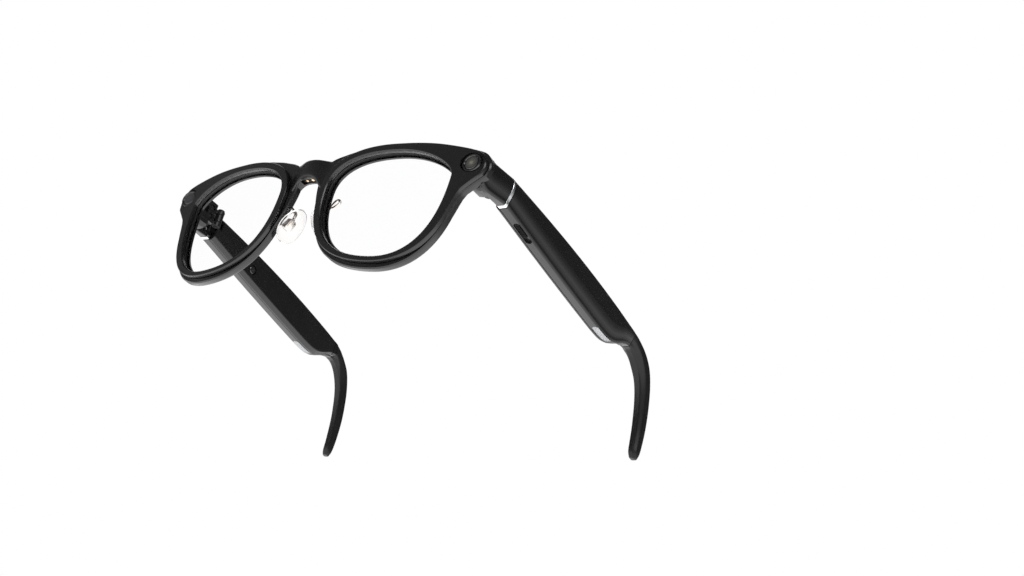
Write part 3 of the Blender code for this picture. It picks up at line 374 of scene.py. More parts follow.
def pushed(loop, amounts):
    """Move an outline outwards by one amount or by one per point."""
    amounts = amounts if isinstance(amounts, list) else [amounts] * len(loop)
    return [(x + nx * a, z + nz * a) for (x, z), (nx, nz), a in zip(loop, normals(loop), amounts)]


def widened(loop, rim):
    """Push an outline outwards: rim gives the nasal, bottom, temporal and top amounts."""
    shares = [(max(-nx, 0) ** 2, max(-nz, 0) ** 2, max(nx, 0) ** 2, max(nz, 0) ** 2) for nx, nz in normals(loop)]
    return pushed(loop, [sum(a * b for a, b in zip(rim, share)) for share in shares])


def with_corner(loop, corner):
    """Carry the outline out to a path, seen from the middle of the lens."""
    cx = 36.0

    def polar(x, z):
        return atan2(z, x - cx) % (2 * pi), hypot(x - cx, z)

    path = [polar(p[0], p[1]) for p in spline(corner, 12)]
    if max(a for a, r in path) - min(a for a, r in path) > pi:
        path = [(a - 2 * pi if a > pi else a, r) for a, r in path]
    path.sort()
    out = []
    for x, z in loop:
        a, r = polar(x, z)
        if a > path[-1][0] and a - 2 * pi >= path[0][0]:
            a -= 2 * pi
        if path[0][0] <= a <= path[-1][0]:
            k = max(i for i in range(len(path) - 1) if path[i][0] <= a)
            (a0, r0), (a1, r1) = path[k], path[k + 1]
            r = max(r, r0 + (r1 - r0) * (a - a0) / max(a1 - a0, TINY))
        out.append((cx + r * cos(a), r * sin(a)))
    return out


OPENING = opening()
PLATE_OUTLINE = with_corner(widened(OPENING, PLATE_RIM), CORNER)
FRAME_OUTLINE = with_corner(with_corner(widened(OPENING, FRAME_RIM), FRAME_CORNER), SHOULDER)


def face_y(x):
    return WRAP * x * x


# ---- materials: every one is a node graph in object space ----
WHITE = (1.0, 1.0, 1.0)
SMEAR = 3.0  # octaves of most of the noise


def graph(owner):
    """A new material or world with its emptied node tree."""
    owner.use_nodes = True
    owner.node_tree.nodes.clear()
    return owner, owner.node_tree


def add(t, kind, *inputs, **values):
    """A shader node. Its inputs come in order or by name, each a value or the node that feeds it."""
    node = t.nodes.new("ShaderNode" + kind)
    for key, value in (*values.items(), *enumerate(inputs)):
        socket = key.replace("_", " ") if isinstance(key, str) else key
        if isinstance(key, str) and socket not in node.inputs:
            setattr(node, key, value)
        elif isinstance(value, bpy.types.Node):
            t.links.new(value.outputs[0], node.inputs[socket])
        elif isinstance(value, bpy.types.NodeSocket):
            t.links.new(value, node.inputs[socket])
        else:
            node.inputs[socket].default_value = value
    return node


def reckon(t, operation, *inputs):
    return add(t, "Math", *inputs, operation=operation)


def read(t, kind, output):
    return add(t, kind).outputs[output]


def shown(owner, t, shader, kind="Material"):
    add(t, "Output" + kind, Surface=shader)
    return owner


def grain(t, size_mm, detail=SMEAR, stretch=(1.0, 1.0, 1.0)):
    """Noise whose features are about this many millimetres across."""
    mapping = add(t, "Mapping", Vector=read(t, "TexCoord", "Object"), Scale=stretch)
    return add(t, "TexNoise", Vector=mapping, Scale=1.0 / (size_mm * MM), Detail=detail, Roughness=0.55)


def ranged(t, value, low, high, start=0.3, end=0.7):
    return add(t, "MapRange", Value=value, From_Min=start, From_Max=end, To_Min=low, To_Max=high)


def mixed(t, factor, a, b):
    return add(t, "Mix", data_type="RGBA", A=(*a, 1.0), B=(*b, 1.0), Factor=factor).outputs["Result"]


def bumped(t, height, depth_mm):
    return add(t, "Bump", Strength=1.0, Distance=depth_mm * MM, Height=height)


def ramped(t, value, stops):
    """Colours or grey levels along a value."""
    ramp = add(t, "ValToRGB", value)
    for i, (at, colour) in enumerate(stops):
        stop = ramp.color_ramp.elements[i] if i < 2 else ramp.color_ramp.elements.new(at)
        stop.position = at
        stop.color = (*(colour if isinstance(colour, tuple) else (colour,) * 3), 1.0)
    return ramp


def surface(name, dark, light, rough, metallic=0.0, fine=0.35, bump=0.0005, broad=9.0, coat=0.0,
            stretch=(1.0, 1.0, 1.0), gloss=0.5):
    """A solid finish: broad mottling of colour and roughness over a fine grain in relief."""
    m, t = graph(bpy.data.materials.new(name))
    m.diffuse_color = (*light, 1.0)
    wide, tiny = grain(t, broad, 4.0), grain(t, fine, 2.0, stretch)
    both = reckon(t, "MULTIPLY_ADD", tiny, 0.35, wide)
    return shown(m, t, add(
        t, "BsdfPrincipled", Base_Color=mixed(t, wide, dark, light), Metallic=metallic, IOR=1.5,
        Specular_IOR_Level=gloss, Roughness=ranged(t, both, *rough, 0.4, 0.95), Normal=bumped(t, tiny, bump),
        Coat_Weight=coat, Coat_Roughness=0.12))


def clear_sheet(name, tint, reflect):
    """Thin clear polycarbonate: see-through, with a faint reflection on its outer face and a fainter smear."""
    m, t = graph(bpy.data.materials.new(name))
    m.diffuse_color = (0.9, 0.93, 0.94, 0.25)
    through = add(t, "BsdfTransparent", Color=mixed(t, grain(t, 14.0), tint, WHITE))
    gloss = add(t, "BsdfGlossy", Roughness=ranged(t, grain(t, 5.0, 4.0), 0.02, 0.07),
                Normal=bumped(t, grain(t, 6.0, 1.0), 0.002))
    outside = reckon(t, "SUBTRACT", 1.0, read(t, "NewGeometry", "Backfacing"))
    seen = reckon(t, "MULTIPLY", add(t, "Fresnel", IOR=1.5), outside)
    return shown(m, t, add(t, "MixShader", reckon(t, "MULTIPLY", seen, reflect), through, gloss))


def silicone(name):
    """Soft clear rubber that bends what is behind it."""
    m, t = graph(bpy.data.materials.new(name))
    return shown(m, t, add(
        t, "BsdfPrincipled", IOR=1.41, Transmission_Weight=1.0,
        Base_Color=mixed(t, grain(t, 4.0), (0.95, 0.925, 0.90), (0.99, 0.985, 0.98)),
        Roughness=ranged(t, grain(t, 1.2), 0.03, 0.10), Normal=bumped(t, grain(t, 2.5, 2.0), 0.012)))


def eye_glass(name, centre, core, halo):
    """A dark coated window over a paler core: rings of colour about its centre, in millimetres. On the indicator
    the paler purple core is a painted glint.
    """
    m, t = graph(bpy.data.materials.new(name))
    away = add(t, "VectorMath", read(t, "TexCoord", "Object"), (Vector(centre) - DATUM) * MM, operation="DISTANCE")
    ring_radius = 3.2 * MM
    rings = ramped(t, ranged(t, away.outputs["Value"], 0.0, 1.0, 0.0, ring_radius), (
        (0.0, core), (0.16, core), (0.26, halo), (0.50, tuple(0.6 * c for c in halo)), (0.72, 0.02)))
    return shown(m, t, add(
        t, "BsdfPrincipled", IOR=1.6, Base_Color=rings, Coat_Weight=1.0, Coat_Roughness=0.03,
        Roughness=ranged(t, grain(t, 0.9), 0.12, 0.22), Normal=bumped(t, grain(t, 1.6, 1.0), 0.002)))


def woven(name, pitch_mm, colour):
    """Fine metal mesh: two crossed waves in relief. The holes between the wires are painted dark: partly the dark
    speaker behind them, partly painted shade in the cavity.
    """
    m, t = graph(bpy.data.materials.new(name))
    waves_per_scale = 3.2
    place = read(t, "TexCoord", "Object")
    waves = [add(t, "TexWave", Vector=add(t, "Mapping", Vector=place, Rotation=(0.0, 0.0, angle)),
                 Scale=1.0 / (pitch_mm * MM * waves_per_scale)) for angle in (pi / 4, -pi / 4)]
    top = reckon(t, "MAXIMUM", waves[0].outputs["Fac"], waves[1].outputs["Fac"])
    # painted shade: the low parts between the wires are coloured dark to stand for the shaded holes
    hole = ranged(t, top, 0.0, 1.0, 0.25, 0.6)
    return shown(m, t, add(
        t, "BsdfPrincipled", Metallic=1.0, Base_Color=mixed(t, hole, (0.03, 0.03, 0.03), colour),
        Roughness=ranged(t, grain(t, 0.4), 0.22, 0.38), Normal=bumped(t, top, 0.05)))


def board_finish(name):
    """Green board with fine copper traces under the mask."""
    m, t = graph(bpy.data.materials.new(name))
    cell_mm = 4.0
    brick = add(t, "TexBrick", Vector=read(t, "TexCoord", "Object"), Scale=1.0 / (cell_mm * MM),
                Color1=(0.012, 0.085, 0.045, 1.0), Color2=(0.016, 0.11, 0.055, 1.0), Mortar=(0.10, 0.26, 0.12,
                                                                                             1.0),
                Mortar_Size=0.03)
    return shown(m, t, add(
        t, "BsdfPrincipled", Base_Color=brick, Roughness=ranged(t, grain(t, 1.0), 0.28, 0.5),
        Normal=bumped(t, brick.outputs["Fac"], 0.02)))


def grey(level, blue=0.0):
    """A nearly neutral colour."""
    return (level, level, level + blue)


BLACK = surface("satin_black_frame", grey(0.0060, 0.0006), grey(0.0082, 0.0006), (0.23, 0.30))
PLATE = surface("satin_black_plate", grey(0.0060, 0.0006), grey(0.0082, 0.0006), (0.22, 0.29), fine=0.33)
TEMPLE = surface("satin_black_temple", grey(0.0058, 0.0004), grey(0.0080, 0.0004), (0.22, 0.29), fine=0.34)
TIP = surface("satin_black_tip", grey(0.0062, 0.0004), grey(0.0084, 0.0004), (0.26, 0.34), fine=0.36, gloss=0.26)
SOFT = surface("slider_black", grey(0.006), grey(0.009), (0.40, 0.50), fine=0.3, gloss=0.05)
GLOSS = surface("gloss_black_ring", grey(0.006), grey(0.010), (0.14, 0.22), fine=0.3, bump=0.001, coat=0.4)
GROOVE = surface("blackened_edge", grey(0.006), grey(0.010), (0.5, 0.6), fine=0.3)
SILVER = surface("satin_silver", (0.66, 0.67, 0.69), (0.76, 0.77, 0.79), (0.22, 0.34), 1.0, 0.08, 0.003,
                 stretch=(1.0, 0.08, 1.0))
STEEL = surface("machined_steel", grey(0.42, 0.02), grey(0.56, 0.02), (0.26, 0.42), 1.0, 0.10, 0.004,
                stretch=(1.0, 1.0, 0.1))
DARK_STEEL = surface("blackened_steel", grey(0.020, 0.001), grey(0.034, 0.002), (0.30, 0.44), 0.6, 0.2, 0.001,
                     stretch=(1.0, 1.0, 0.1))
CHROME = surface("polished_wire", (0.56, 0.51, 0.47), (0.68, 0.64, 0.61), (0.10, 0.18), 1.0, 0.25, 0.001, 3.0)
# Silver metal coloured orange: a painted reflection of the orange charging case, which the scene leaves out.
CASE_REFLECTION_METAL = surface("metal_with_painted_case_reflection", (0.78, 0.50, 0.27), (0.90, 0.66, 0.42), (0.16, 0.30), 1.0, 0.10, 0.002, 1.0)
CELL = surface("battery_wrap", (0.17, 0.19, 0.23), (0.26, 0.28, 0.32), (0.30, 0.48), fine=0.4, bump=0.01)
CHIP = surface("chip_package", grey(0.012), grey(0.022), (0.40, 0.60), fine=0.12)
BOARD = board_finish("circuit_board")
MESH = woven("speaker_mesh", 0.30, (0.36, 0.37, 0.38))
LENS = clear_sheet("lens_sheet", (0.992, 0.994, 0.994), 0.15)
SILICONE = silicone("clear_pad")


# ---- rings around the lens openings ----
def smooth_step(t):
    t = min(max(t, 0.0), 1.0)
    return t * t * (3.0 - 2.0 * t)


def between(a, b, s):
    return [(p[0] + (q[0] - p[0]) * s, p[1] + (q[1] - p[1]) * s) for p, q in zip(a, b)]


def corner_weight(x, z):
    """1 on the outer side of the camera corner, where the bevel opens out."""
    return smooth_step((x - 63.5) / 4.5) * smooth_step((z - 9.0) / 3.5) * smooth_step((21.5 - z) / 3.0)


def ring(name, side, rows, mat=None, body=None, **look):
    """A closed band around the lens. rows: (loop, depth) with depth a number or one per point."""
    sections = []
    for loop, depth in rows:
        depths = depth if isinstance(depth, list) else [depth] * len(loop)
        sections.append([(side * x, face_y(x) + d, z) for (x, z), d in zip(loop, depths)])
    return loft(name, sections, mat, body, True, smooth=FRONT_SMOOTH, **look)


def section(points, y, side=1):
    """Points given as (x, z) at a depth, mirrored for the right side."""
    return [(side * x, y, z) for x, z in points]


def handed(side, p):
    return Vector((side * p[0], p[1], p[2]))


def front_plate(name, side):
    weight = [max(corner_weight(x, z), 0.36 * smooth_step((z - 17.0) / 4.0)) for x, z in PLATE_OUTLINE]
    inner = pushed(OPENING, 0.48)
    rows = [(inner, 0.0), (pushed(OPENING, 0.14), 0.30), (OPENING, 0.62), (OPENING, PLATE_BACK),
            (PLATE_OUTLINE, PLATE_BACK)]
    for k in range(ROUND_STEPS + 1):
        w = k / ROUND_STEPS * QUARTER
        amounts = [-(0.34 + 1.25 * c) * (1 - cos(w)) for c in weight]
        depths = [(0.36 + 0.80 * c) * (1 - sin(w)) for c in weight]
        rows.append((pushed(PLATE_OUTLINE, amounts), depths))
    outer = rows[-1][0]
    rows += [(between(outer, inner, s), 0.0) for s in (0.08, 0.35, 0.65, 0.92)]
    plate = ring(name, side, rows, PLATE, "front", stands_for=name)
    bore = turned(name + "_bore", (side * EYE_X, face_y(EYE_X), EYE_Z), FORE,
                  ((0, -2), (EYE_BORE, -2), (EYE_BORE, 3), (0, 3)))
    return weigh(bake(combine(plate, "DIFFERENCE", bore), FRONT_SMOOTH))


def lens(name, side):
    """Clear sheet whose outermost band, hidden in the groove, is blackened."""
    edge = pushed(OPENING, 0.42)
    shares = (0.02, 0.25, 0.5, 0.75, 0.985)
    rows = []
    for depth, order in ((LENS_FRONT, shares), (LENS_FRONT + 0.12, (1.0,)),
                         (LENS_BACK - 0.12, (1.0,)), (LENS_BACK, shares[::-1])):
        for s in order:
            across = [(LENS_X + (x - LENS_X) * s, z * s) for x, z in edge]
            rows.append([(side * x, face_y(x) + depth, z) for x, z in across])
    sheet = loft(name, rows, LENS, "front", stands_for=name)
    sheet.data.materials.append(GROOVE)
    first, last = (len(shares) - 1) * len(edge), (len(shares) + 2) * len(edge)
    for face in sheet.data.polygons:
        if first <= face.index < last:
            face.material_index = 1
    return sheet


# ---- the rear frame ----
def rim_block(side):
    inner = pushed(OPENING, -LIP)
    groove = pushed(OPENING, 0.75)
    rows = [(groove, FRAME_FRONT), (groove, REBATE_FLOOR), (inner, REBATE_FLOOR), (inner, FRAME_BACK - 0.4),
            (pushed(OPENING, -LIP + 0.4), FRAME_BACK), (pushed(FRAME_OUTLINE, -0.9), FRAME_BACK),
            (pushed(FRAME_OUTLINE, -0.3), FRAME_BACK - 0.25), (FRAME_OUTLINE, FRAME_BACK - 0.9),
            (FRAME_OUTLINE, FRAME_FRONT + 0.4), (pushed(FRAME_OUTLINE, -0.4), FRAME_FRONT)]
    return ring("rim_%d" % side, side, rows)


def bridge_block():
    sections = []
    for i in range(-32, 33):
        x = i * 0.375
        a = abs(x)
        top, low = interpolate(BRIDGE_TOP, a), interpolate(BRIDGE_LOW, a)
        swell = cos(min(a / BRIDGE_SWELL_X, 1.0) * QUARTER) ** 2
        front = FRAME_FRONT + 0.15 + face_y(x) - 2.7 * swell
        back = FRAME_BACK + face_y(x) + 0.3 * swell
        h = top - low
        loop = [((front + back) / 2, top), (front + 1.1, top - 0.25), (front + 0.35, top - 1.0),
                (front, top - 2.4), (front, top - h * 0.5), (front + 0.1, low + 1.5), (front + 0.4, low + 0.4),
                (front + 0.9, low), (back - 0.9, low + 0.15), (back - 0.2, low + 1.0), (back, low + h * 0.4),
                (back - 0.1, top - 1.8), (back - 0.8, top - 0.5)]
        sections.append([(x, y, z) for y, z in spline([loop[-1]] + loop + loop[:2], 3)[3:-4]])
    return loft("bridge_tool", sections)


def flat_spline(points, per):
    """A spline in a plane, as (x, y) tuples."""
    return [(p.x, p.y) for p in spline([(a, b, 0.0) for a, b in points], per)]


def side_chain(top, low, outer, part=PART_X):
    """Outer surface of an endpiece or a temple, from the inner top edge to the inner bottom edge."""
    k = min((top - low) / FULL_HEIGHT, 1.0)
    bend = [(part, top - 0.75), (part + 0.7, top - 0.2), (part + 1.8, top), (outer - 1.7, top - 0.2),
            (outer - 0.75, top - 0.75), (outer - 0.2, top - 2.0 * k)]
    bend += [(outer - inwards, low + height * k) for inwards, height in BULGE]
    bend = flat_spline(bend + [(outer - 1.3, low + 0.85)], 3)
    return bend + [(outer - 1.52, low + 0.40), (outer - 1.64, low + 0.13), (outer - 1.9, low),
                   (part + 0.3, low), (part, low + 0.2)]


def shell_section(top, low, outer, wall=WALL):
    h = top - low
    inner = [(PART_X, low + wall), (outer - 2.4, low + wall + 0.1), (outer - wall - 0.9, low + wall + 0.09 * h),
             (outer - wall - 0.25, low + 0.4 * h), (outer - wall, low + 0.52 * h),
             (outer - wall - 0.3, top - 0.34 * h), (outer - wall - 1.0, top - wall - 0.35),
             (PART_X, top - wall - 0.35)]
    return side_chain(top, low, outer) + inner


def endpiece_block(side):
    start, steps = 11.2, 12
    sections = []
    for k in range(steps + 1):
        y = start + (FOLD_SEAM - start) * k / steps
        t = (y - 10.0) / (FOLD_SEAM - 10.0)
        top = 19.6 + (19.85 - 19.6) * t
        low = 7.9 + 0.85 * t ** 1.5 + 1.5 * max(0.0, 1.0 - (y - start) / 3.4) ** 2
        outer = 68.8 + (OUTER_X - 68.8) * t
        sections.append(section(shell_section(top, low, outer, 1.5), y, side))
    return loft("endpiece_%d" % side, sections)


def endpiece_root(side):
    """Solid web inside the endpiece that carries it out of the rim's corner and closes it below."""
    sections = []
    for y, low, outer in ROOT_STATIONS:
        web = ((61.45, 13.2), (61.45, low + 1.6), (62.8, low + 0.35), (64.4, low), (outer - 2.1, low + 0.05),
               (outer - 1.6, low + 0.85), (outer - 1.45, low + 1.9), (outer - 1.3, 13.2))
        sections.append(section(web, y, side))
    return loft("endpiece_root_%d" % side, sections)


def hinge_boss(side):
    outline = ((61.0, 10.0), (68.0, 11.2), (68.0, 13.6), (66.3, 13.6), (66.3, 19.6), (61.7, 19.6), (61.0, 18.9))
    return loft("boss_%d" % side, [[(side * x, y, z) for x, y in outline] for z in (11.6, 19.8)])


def front_frame():
    frame_body = rim_block(1)
    frame_body.name = "rear_frame"
    combine(frame_body, "UNION", rim_block(-1), bridge_block())
    for side in (1, -1):
        foot, lean = (side * 9.6, 4.2, 2.6), (side * -0.25, 1.0, 0.0)
        combine(frame_body, "UNION", endpiece_block(side), endpiece_root(side), hinge_boss(side),
                turned("post_%d" % side, foot, lean,
                       ((0, -1.0), (1.35, -1.0), (1.35, 1.5), (0.9, 1.95), (0, 1.95))))
        pocket_x = sorted((side * 62.4, side * 64.6))
        combine(frame_body, "DIFFERENCE",
                turned("eye_bore_%d" % side, (side * EYE_X, face_y(EYE_X), EYE_Z), FORE,
                       ((0, -1.0), (EYE_BORE, -1.0), (EYE_BORE, 1.9), (3.2, 1.9), (3.2, 8.2), (0, 8.2))),
                turned("pad_hole_%d" % side, foot, lean, ((0, 0.6), (0.7, 0.6), (0.7, 3.0), (0, 3.0))),
                block("leaf_pocket_%d" % side, (pocket_x[0], 14.6, 12.1), (pocket_x[1], 21.0, 19.3), 0.1),
                *(turned("screw_hole_%d_%d" % (side, z), (side * 60.0, 17.0, z), (side, 0, 0),
                         ((0, 0.0), (1.15, 0.0), (1.15, 5.6), (0, 5.6)), steps=24) for z in SCREW_HEIGHTS))
    combine(frame_body, "DIFFERENCE", block("contact_pocket", (-3.1, 1.0, 10.0), (3.1, 3.6, 14.6), 0.3))
    weigh(bake(frame_body, FRONT_SMOOTH))
    frame_body.data.materials.clear()
    frame_body.data.materials.append(BLACK)
    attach(frame_body, "front")
    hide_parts("front_frame")


# ---- camera, indicator and contacts ----
def eye(kind, side, core, halo):
    """A trim ring and the domed window in it."""
    centre = (side * EYE_X, face_y(EYE_X), EYE_Z)
    rim = [(EYE_GLASS + r, depth) for r, depth in ((0.2, 1.4), (0.2, 0.30), (0.34, 0.12), (0.45, 0.12), (0.5, 0.0))]
    rim += [(EYE_RING - r, depth) for r, depth in ((0.34, -0.05), (0.12, 0.02), (0.0, 0.22), (0.0, 1.4))]
    name = kind + "_ring"
    loft(name, [circle(centre, FORE, r, depth, 72) for r, depth in rim], GLOSS, "front", True, stands_for=name)
    dome = [(EYE_GLASS * sin(w), 0.22 - 0.16 * cos(w)) for w in (k * pi / 16 for k in range(9))]
    name = kind + "_window"
    turned(name, centre, FORE, dome + [(EYE_GLASS, 1.2), (0, 1.2)], eye_glass(kind + "_glass", centre, core, halo),
           "front", stands_for=name)


def contacts():
    seat = block("contact_seat", (-2.8, 1.3, DATUM.z), (2.8, 3.3, 14.3), 0.25, SOFT, "front",
                 stands_for="contact_block")
    for hand, side in (("left", 1), ("right", -1)):
        place = (side * CONTACT_X, DATUM.y, DATUM.z)
        well = CONTACT_R + 0.1
        combine(seat, "DIFFERENCE", turned("contact_well_" + hand, place, UP,
                                           ((0, -1.0), (well, -1.0), (well, 1.2), (0, 1.2))))
        name = "charging_contact_" + hand
        pin = ((0, 0.05), (CONTACT_R - 0.1, 0.05), (CONTACT_R - 0.03, 0.08), (CONTACT_R, 0.15), (CONTACT_R, 1.0),
               (0, 1.0))
        # The pins' orange colour is a painted reflection of the charging case.
        turned(name + "_pin", place, UP, pin, CASE_REFLECTION_METAL, "front", 40, stands_for=name)
    bake(seat)


# ---- nose pads ----
def pad_axes(side):
    """The pad's middle and its facing, long and cross directions."""
    n = handed(side, PAD_FACE).normalized()
    along = handed(side, PAD_LONG)
    along = (along - n * along.dot(n)).normalized()
    return handed(side, PAD_CENTRE), n, along, n.cross(along)


def nose_pad(hand, side):
    c, n, up, across = pad_axes(side)
    rows = []
    for share, depth in flat_spline(PAD_PROFILE, 3)[1:-1]:
        rows.append([c + up * (PAD_LENGTH / 2 * share * sin(w))
                     + across * (PAD_WIDTH / 2 * share * (1.0 - PAD_TAPER * sin(w)) * cos(w)) + n * depth
                     for w in turn(72)])
    name = "nose_pad_" + hand
    loft(name + "_soft", rows, SILICONE, hand + "_nose_pad", smooth=60.0, stands_for=name)


def pad_box(hand, side):
    """The small rounded box behind the pad."""
    def squared(v):
        return copysign(abs(v) ** 0.45, v)

    c, n, up, across = pad_axes(side)
    c -= n * MOUNT_DEPTH
    sections = []
    for depth, s in ((-0.95, 0.62), (-0.9, 0.74), (-0.7, 0.94), (-0.5, 1.0), (0.7, 1.0), (0.9, 0.93),
                     (1.05, 0.75)):
        sections.append([c + n * depth + up * (MOUNT_HALF * s * squared(sin(w)))
                         + across * (1.5 * s * squared(cos(w))) for w in turn(32)])
    name = "nose_pad_mount_" + hand
    loft(name + "_box", sections, CHROME, "front", smooth=50.0, stands_for=name)


def pad_arm(hand, side):
    c, n, up, across = pad_axes(side)
    end = c - n * MOUNT_DEPTH + up * MOUNT_HALF
    points = [handed(side, p) for p in ARM_PATH] + [end + UP, end]
    name = "nose_pad_arm_" + hand
    tube(name + "_wire", spline(points, 9), WIRE_R, CHROME, "front", smooth=40.0, stands_for=name)


# ---- temples: laid out straight, then splayed about the hinge axis ----
def splay(side, p):
    x, y, z = p[0] - AXIS_X, p[1] - AXIS_Y, p[2]
    c, s = cos(FLARE), sin(FLARE)
    return (side * (AXIS_X + c * x + s * y), AXIS_Y - s * x + c * y, z)


def temple_loft(name, side, sections, mat=None, body=None, **look):
    return loft(name, [[splay(side, p) for p in row] for row in sections], mat, body, **look)


def stations(start, end, step):
    count = max(int((end - start) / step), 1)
    return [start + (end - start) * k / count for k in range(count + 1)]


def heights(y):
    """Top and bottom of the temple."""
    return interpolate(TOP_LINE, y), interpolate(BOTTOM_LINE, y)


def temple_sweep(name, side, ys, outline, mat=None, body=None, **look):
    """Carry an outline, given as (x, z) from the temple's top and bottom heights, along the temple."""
    rows = [section(outline(*heights(y)), y) for y in ys]
    return temple_loft(name, side, rows, mat, body, **look)


def hinge_notch(name, side, inner, back):
    """Room for the hinge leaf behind the collar."""
    outline = cut_corners((inner, 13.9), (67.9, 17.5), 0.1)
    return temple_loft(name + "_notch", side, [section(outline, y) for y in (24.0, back)])


def flat_box(x, w, y, z, low, high):
    return [(x - w, y, z + low), (x + w, y, z + low), (x + w, y, z + high), (x - w, y, z + high)]


def round_ended(start, end, radius, between_ys, steps, last):
    """Stations along a round-ended bar, with its half width at each."""
    low, high = start + radius, end - radius
    cut = [sin(QUARTER * k / steps) for k in range(steps)] + [last]
    ys = [low - radius * c for c in reversed(cut)] + between_ys + [high + radius * c for c in cut]
    return [(y, sqrt(max(radius ** 2 - max(low - y, y - high, 0.0) ** 2, 1e-4))) for y in ys]


def oval_strip(name, side, grow, low, high, mat=None, body=None, **look):
    """The grille or the slot it fills, following the underside."""
    y0, y1 = GRILLE_FRONT - grow + 0.02, GRILLE_BACK + grow - 0.02
    r = 1.35 + grow
    rows = [flat_box(GRILLE_X, w, y, interpolate(BOTTOM_LINE, y), low, high)
            for y, w in round_ended(y0, y1, r, stations(y0 + r + 0.5, y1 - r - 0.5, 0.8), 9, 0.997)]
    return temple_loft(name, side, rows, mat, body, **look)


def bulkhead(name, side, y0, y1, inner):
    """A wall across the temple, reaching in to the given x."""
    def outline(top, low):
        h = top - low
        return ((inner, low + 1.4), (inner + 0.5, low + 0.55), (inner + 2.4, low + 0.4),
                (OUTER_X - 1.7, low + 0.6), (OUTER_X - 0.6, low + 0.45 * h), (OUTER_X - 0.8, top - 0.3 * h),
                (OUTER_X - 1.8, top - 0.6), (inner + 2.4, top - 0.55), (inner + 0.5, top - 0.95),
                (inner, top - 1.9))

    return temple_sweep(name, side, (y0, y1), outline)


def on_temple(obj, name, hand):
    """Finish a cut temple piece and let it stand for its CAD node."""
    weigh(bake(obj, TEMPLE_SMOOTH))
    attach(obj, hand + "_temple")
    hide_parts(name)


def temple_shell(hand, side):
    name = "temple_shell_" + hand
    shell = temple_sweep(name + "_skin", side, stations(SHELL_FRONT, SHELL_BACK, 1.1),
                         lambda top, low: shell_section(top, low, OUTER_X), TEMPLE)
    combine(shell, "UNION", bulkhead(name + "_fw", side, SHELL_FRONT + 0.15, SHELL_FRONT + 1.3, PART_X + 0.1),
            bulkhead(name + "_rw", side, 114.0, SHELL_BACK - 0.1, COVER_X + 0.1))
    combine(shell, "DIFFERENCE", hinge_notch(name, side, 64.0, 30.0),
            oval_strip(name + "_slot", side, 0.12, -3.0, 3.0))
    if side > 0:
        combine(shell, "DIFFERENCE",
                switch_shape(name + "_pocket", side, SWITCH_FRONT, SWITCH_BACK, 1.25, -3.0, 1.0))
    on_temple(shell, name, hand)


def temple_cover(hand, side):
    name = "temple_cover_" + hand
    a, b = PART_X - 0.12, COVER_X

    def outline(top, low):
        return ((a, low + 0.14), (a - 0.35, low + 0.12), (a - 0.9, low + 0.42), (b + 0.5, low + 1.0),
                (b + 0.12, low + 1.45), (b, low + 2.1), (b, top - 2.4), (b + 0.1, top - 1.7),
                (b + 0.45, top - 1.2), (a - 0.6, top - 0.86), (a, top - 0.86))

    cover = temple_sweep(name + "_skin", side, stations(25.5, 113.7, 1.2), outline, TEMPLE)
    combine(cover, "DIFFERENCE", hinge_notch(name, side, 63.0, 28.0))
    if side < 0:
        combine(cover, "DIFFERENCE", turned(name + "_hole", splay(side, (COVER_X - 1.0, SENSOR_Y, SENSOR_Z)),
                                            SENSOR_AXIS, ((0, 0), (1.9, 0.0), (1.9, 3.3), (0, 3.3))))
    on_temple(cover, name, hand)


def collar(hand, side):
    name = "temple_collar_" + hand
    rows = []
    for y, lift in ((COLLAR_FRONT, -0.06), (COLLAR_FRONT + 0.12, 0.05), (COLLAR_BACK - 0.12, 0.05),
                    (COLLAR_BACK, -0.06)):
        top, low = heights(y)
        rows.append(section(shell_section(top + lift, low - lift, OUTER_X + lift), y))
    temple_loft(name + "_band", side, rows, SILVER, hand + "_temple", stands_for=name)


def around(outline):
    """Points of a closed outline at even angles about its middle."""
    cx, cy = ((min(p[i] for p in outline) + max(p[i] for p in outline)) / 2 for i in (0, 1))
    out = []
    for w in turn(HOOK_POINTS):
        dx, dy = cos(w), sin(w)
        reach = 0.0
        for (ax, ay), (bx, by) in zip(outline, outline[1:] + outline[:1]):
            ex, ey = bx - ax, by - ay
            det = dx * ey - dy * ex
            if abs(det) < TINY:
                continue
            t = ((ax - cx) * ey - (ay - cy) * ex) / det
            s = ((ax - cx) * dy - (ay - cy) * dx) / det
            if t > reach and -TINY <= s <= 1 + TINY:
                reach = t
        out.append((cx + dx * reach, cy + dy * reach))
    return out


def temple_outline(top, low):
    """Outline of the temple's skin and cover together, in x and height."""
    b = COVER_X
    return side_chain(top, low, OUTER_X) + [
        (b + 1.1, low + 0.45), (b + 0.5, low + 1.0), (b + 0.12, low + 1.45), (b, low + 2.1), (b, top - 2.4),
        (b + 0.45, top - 1.2), (b + 1.3, top - 0.86)]


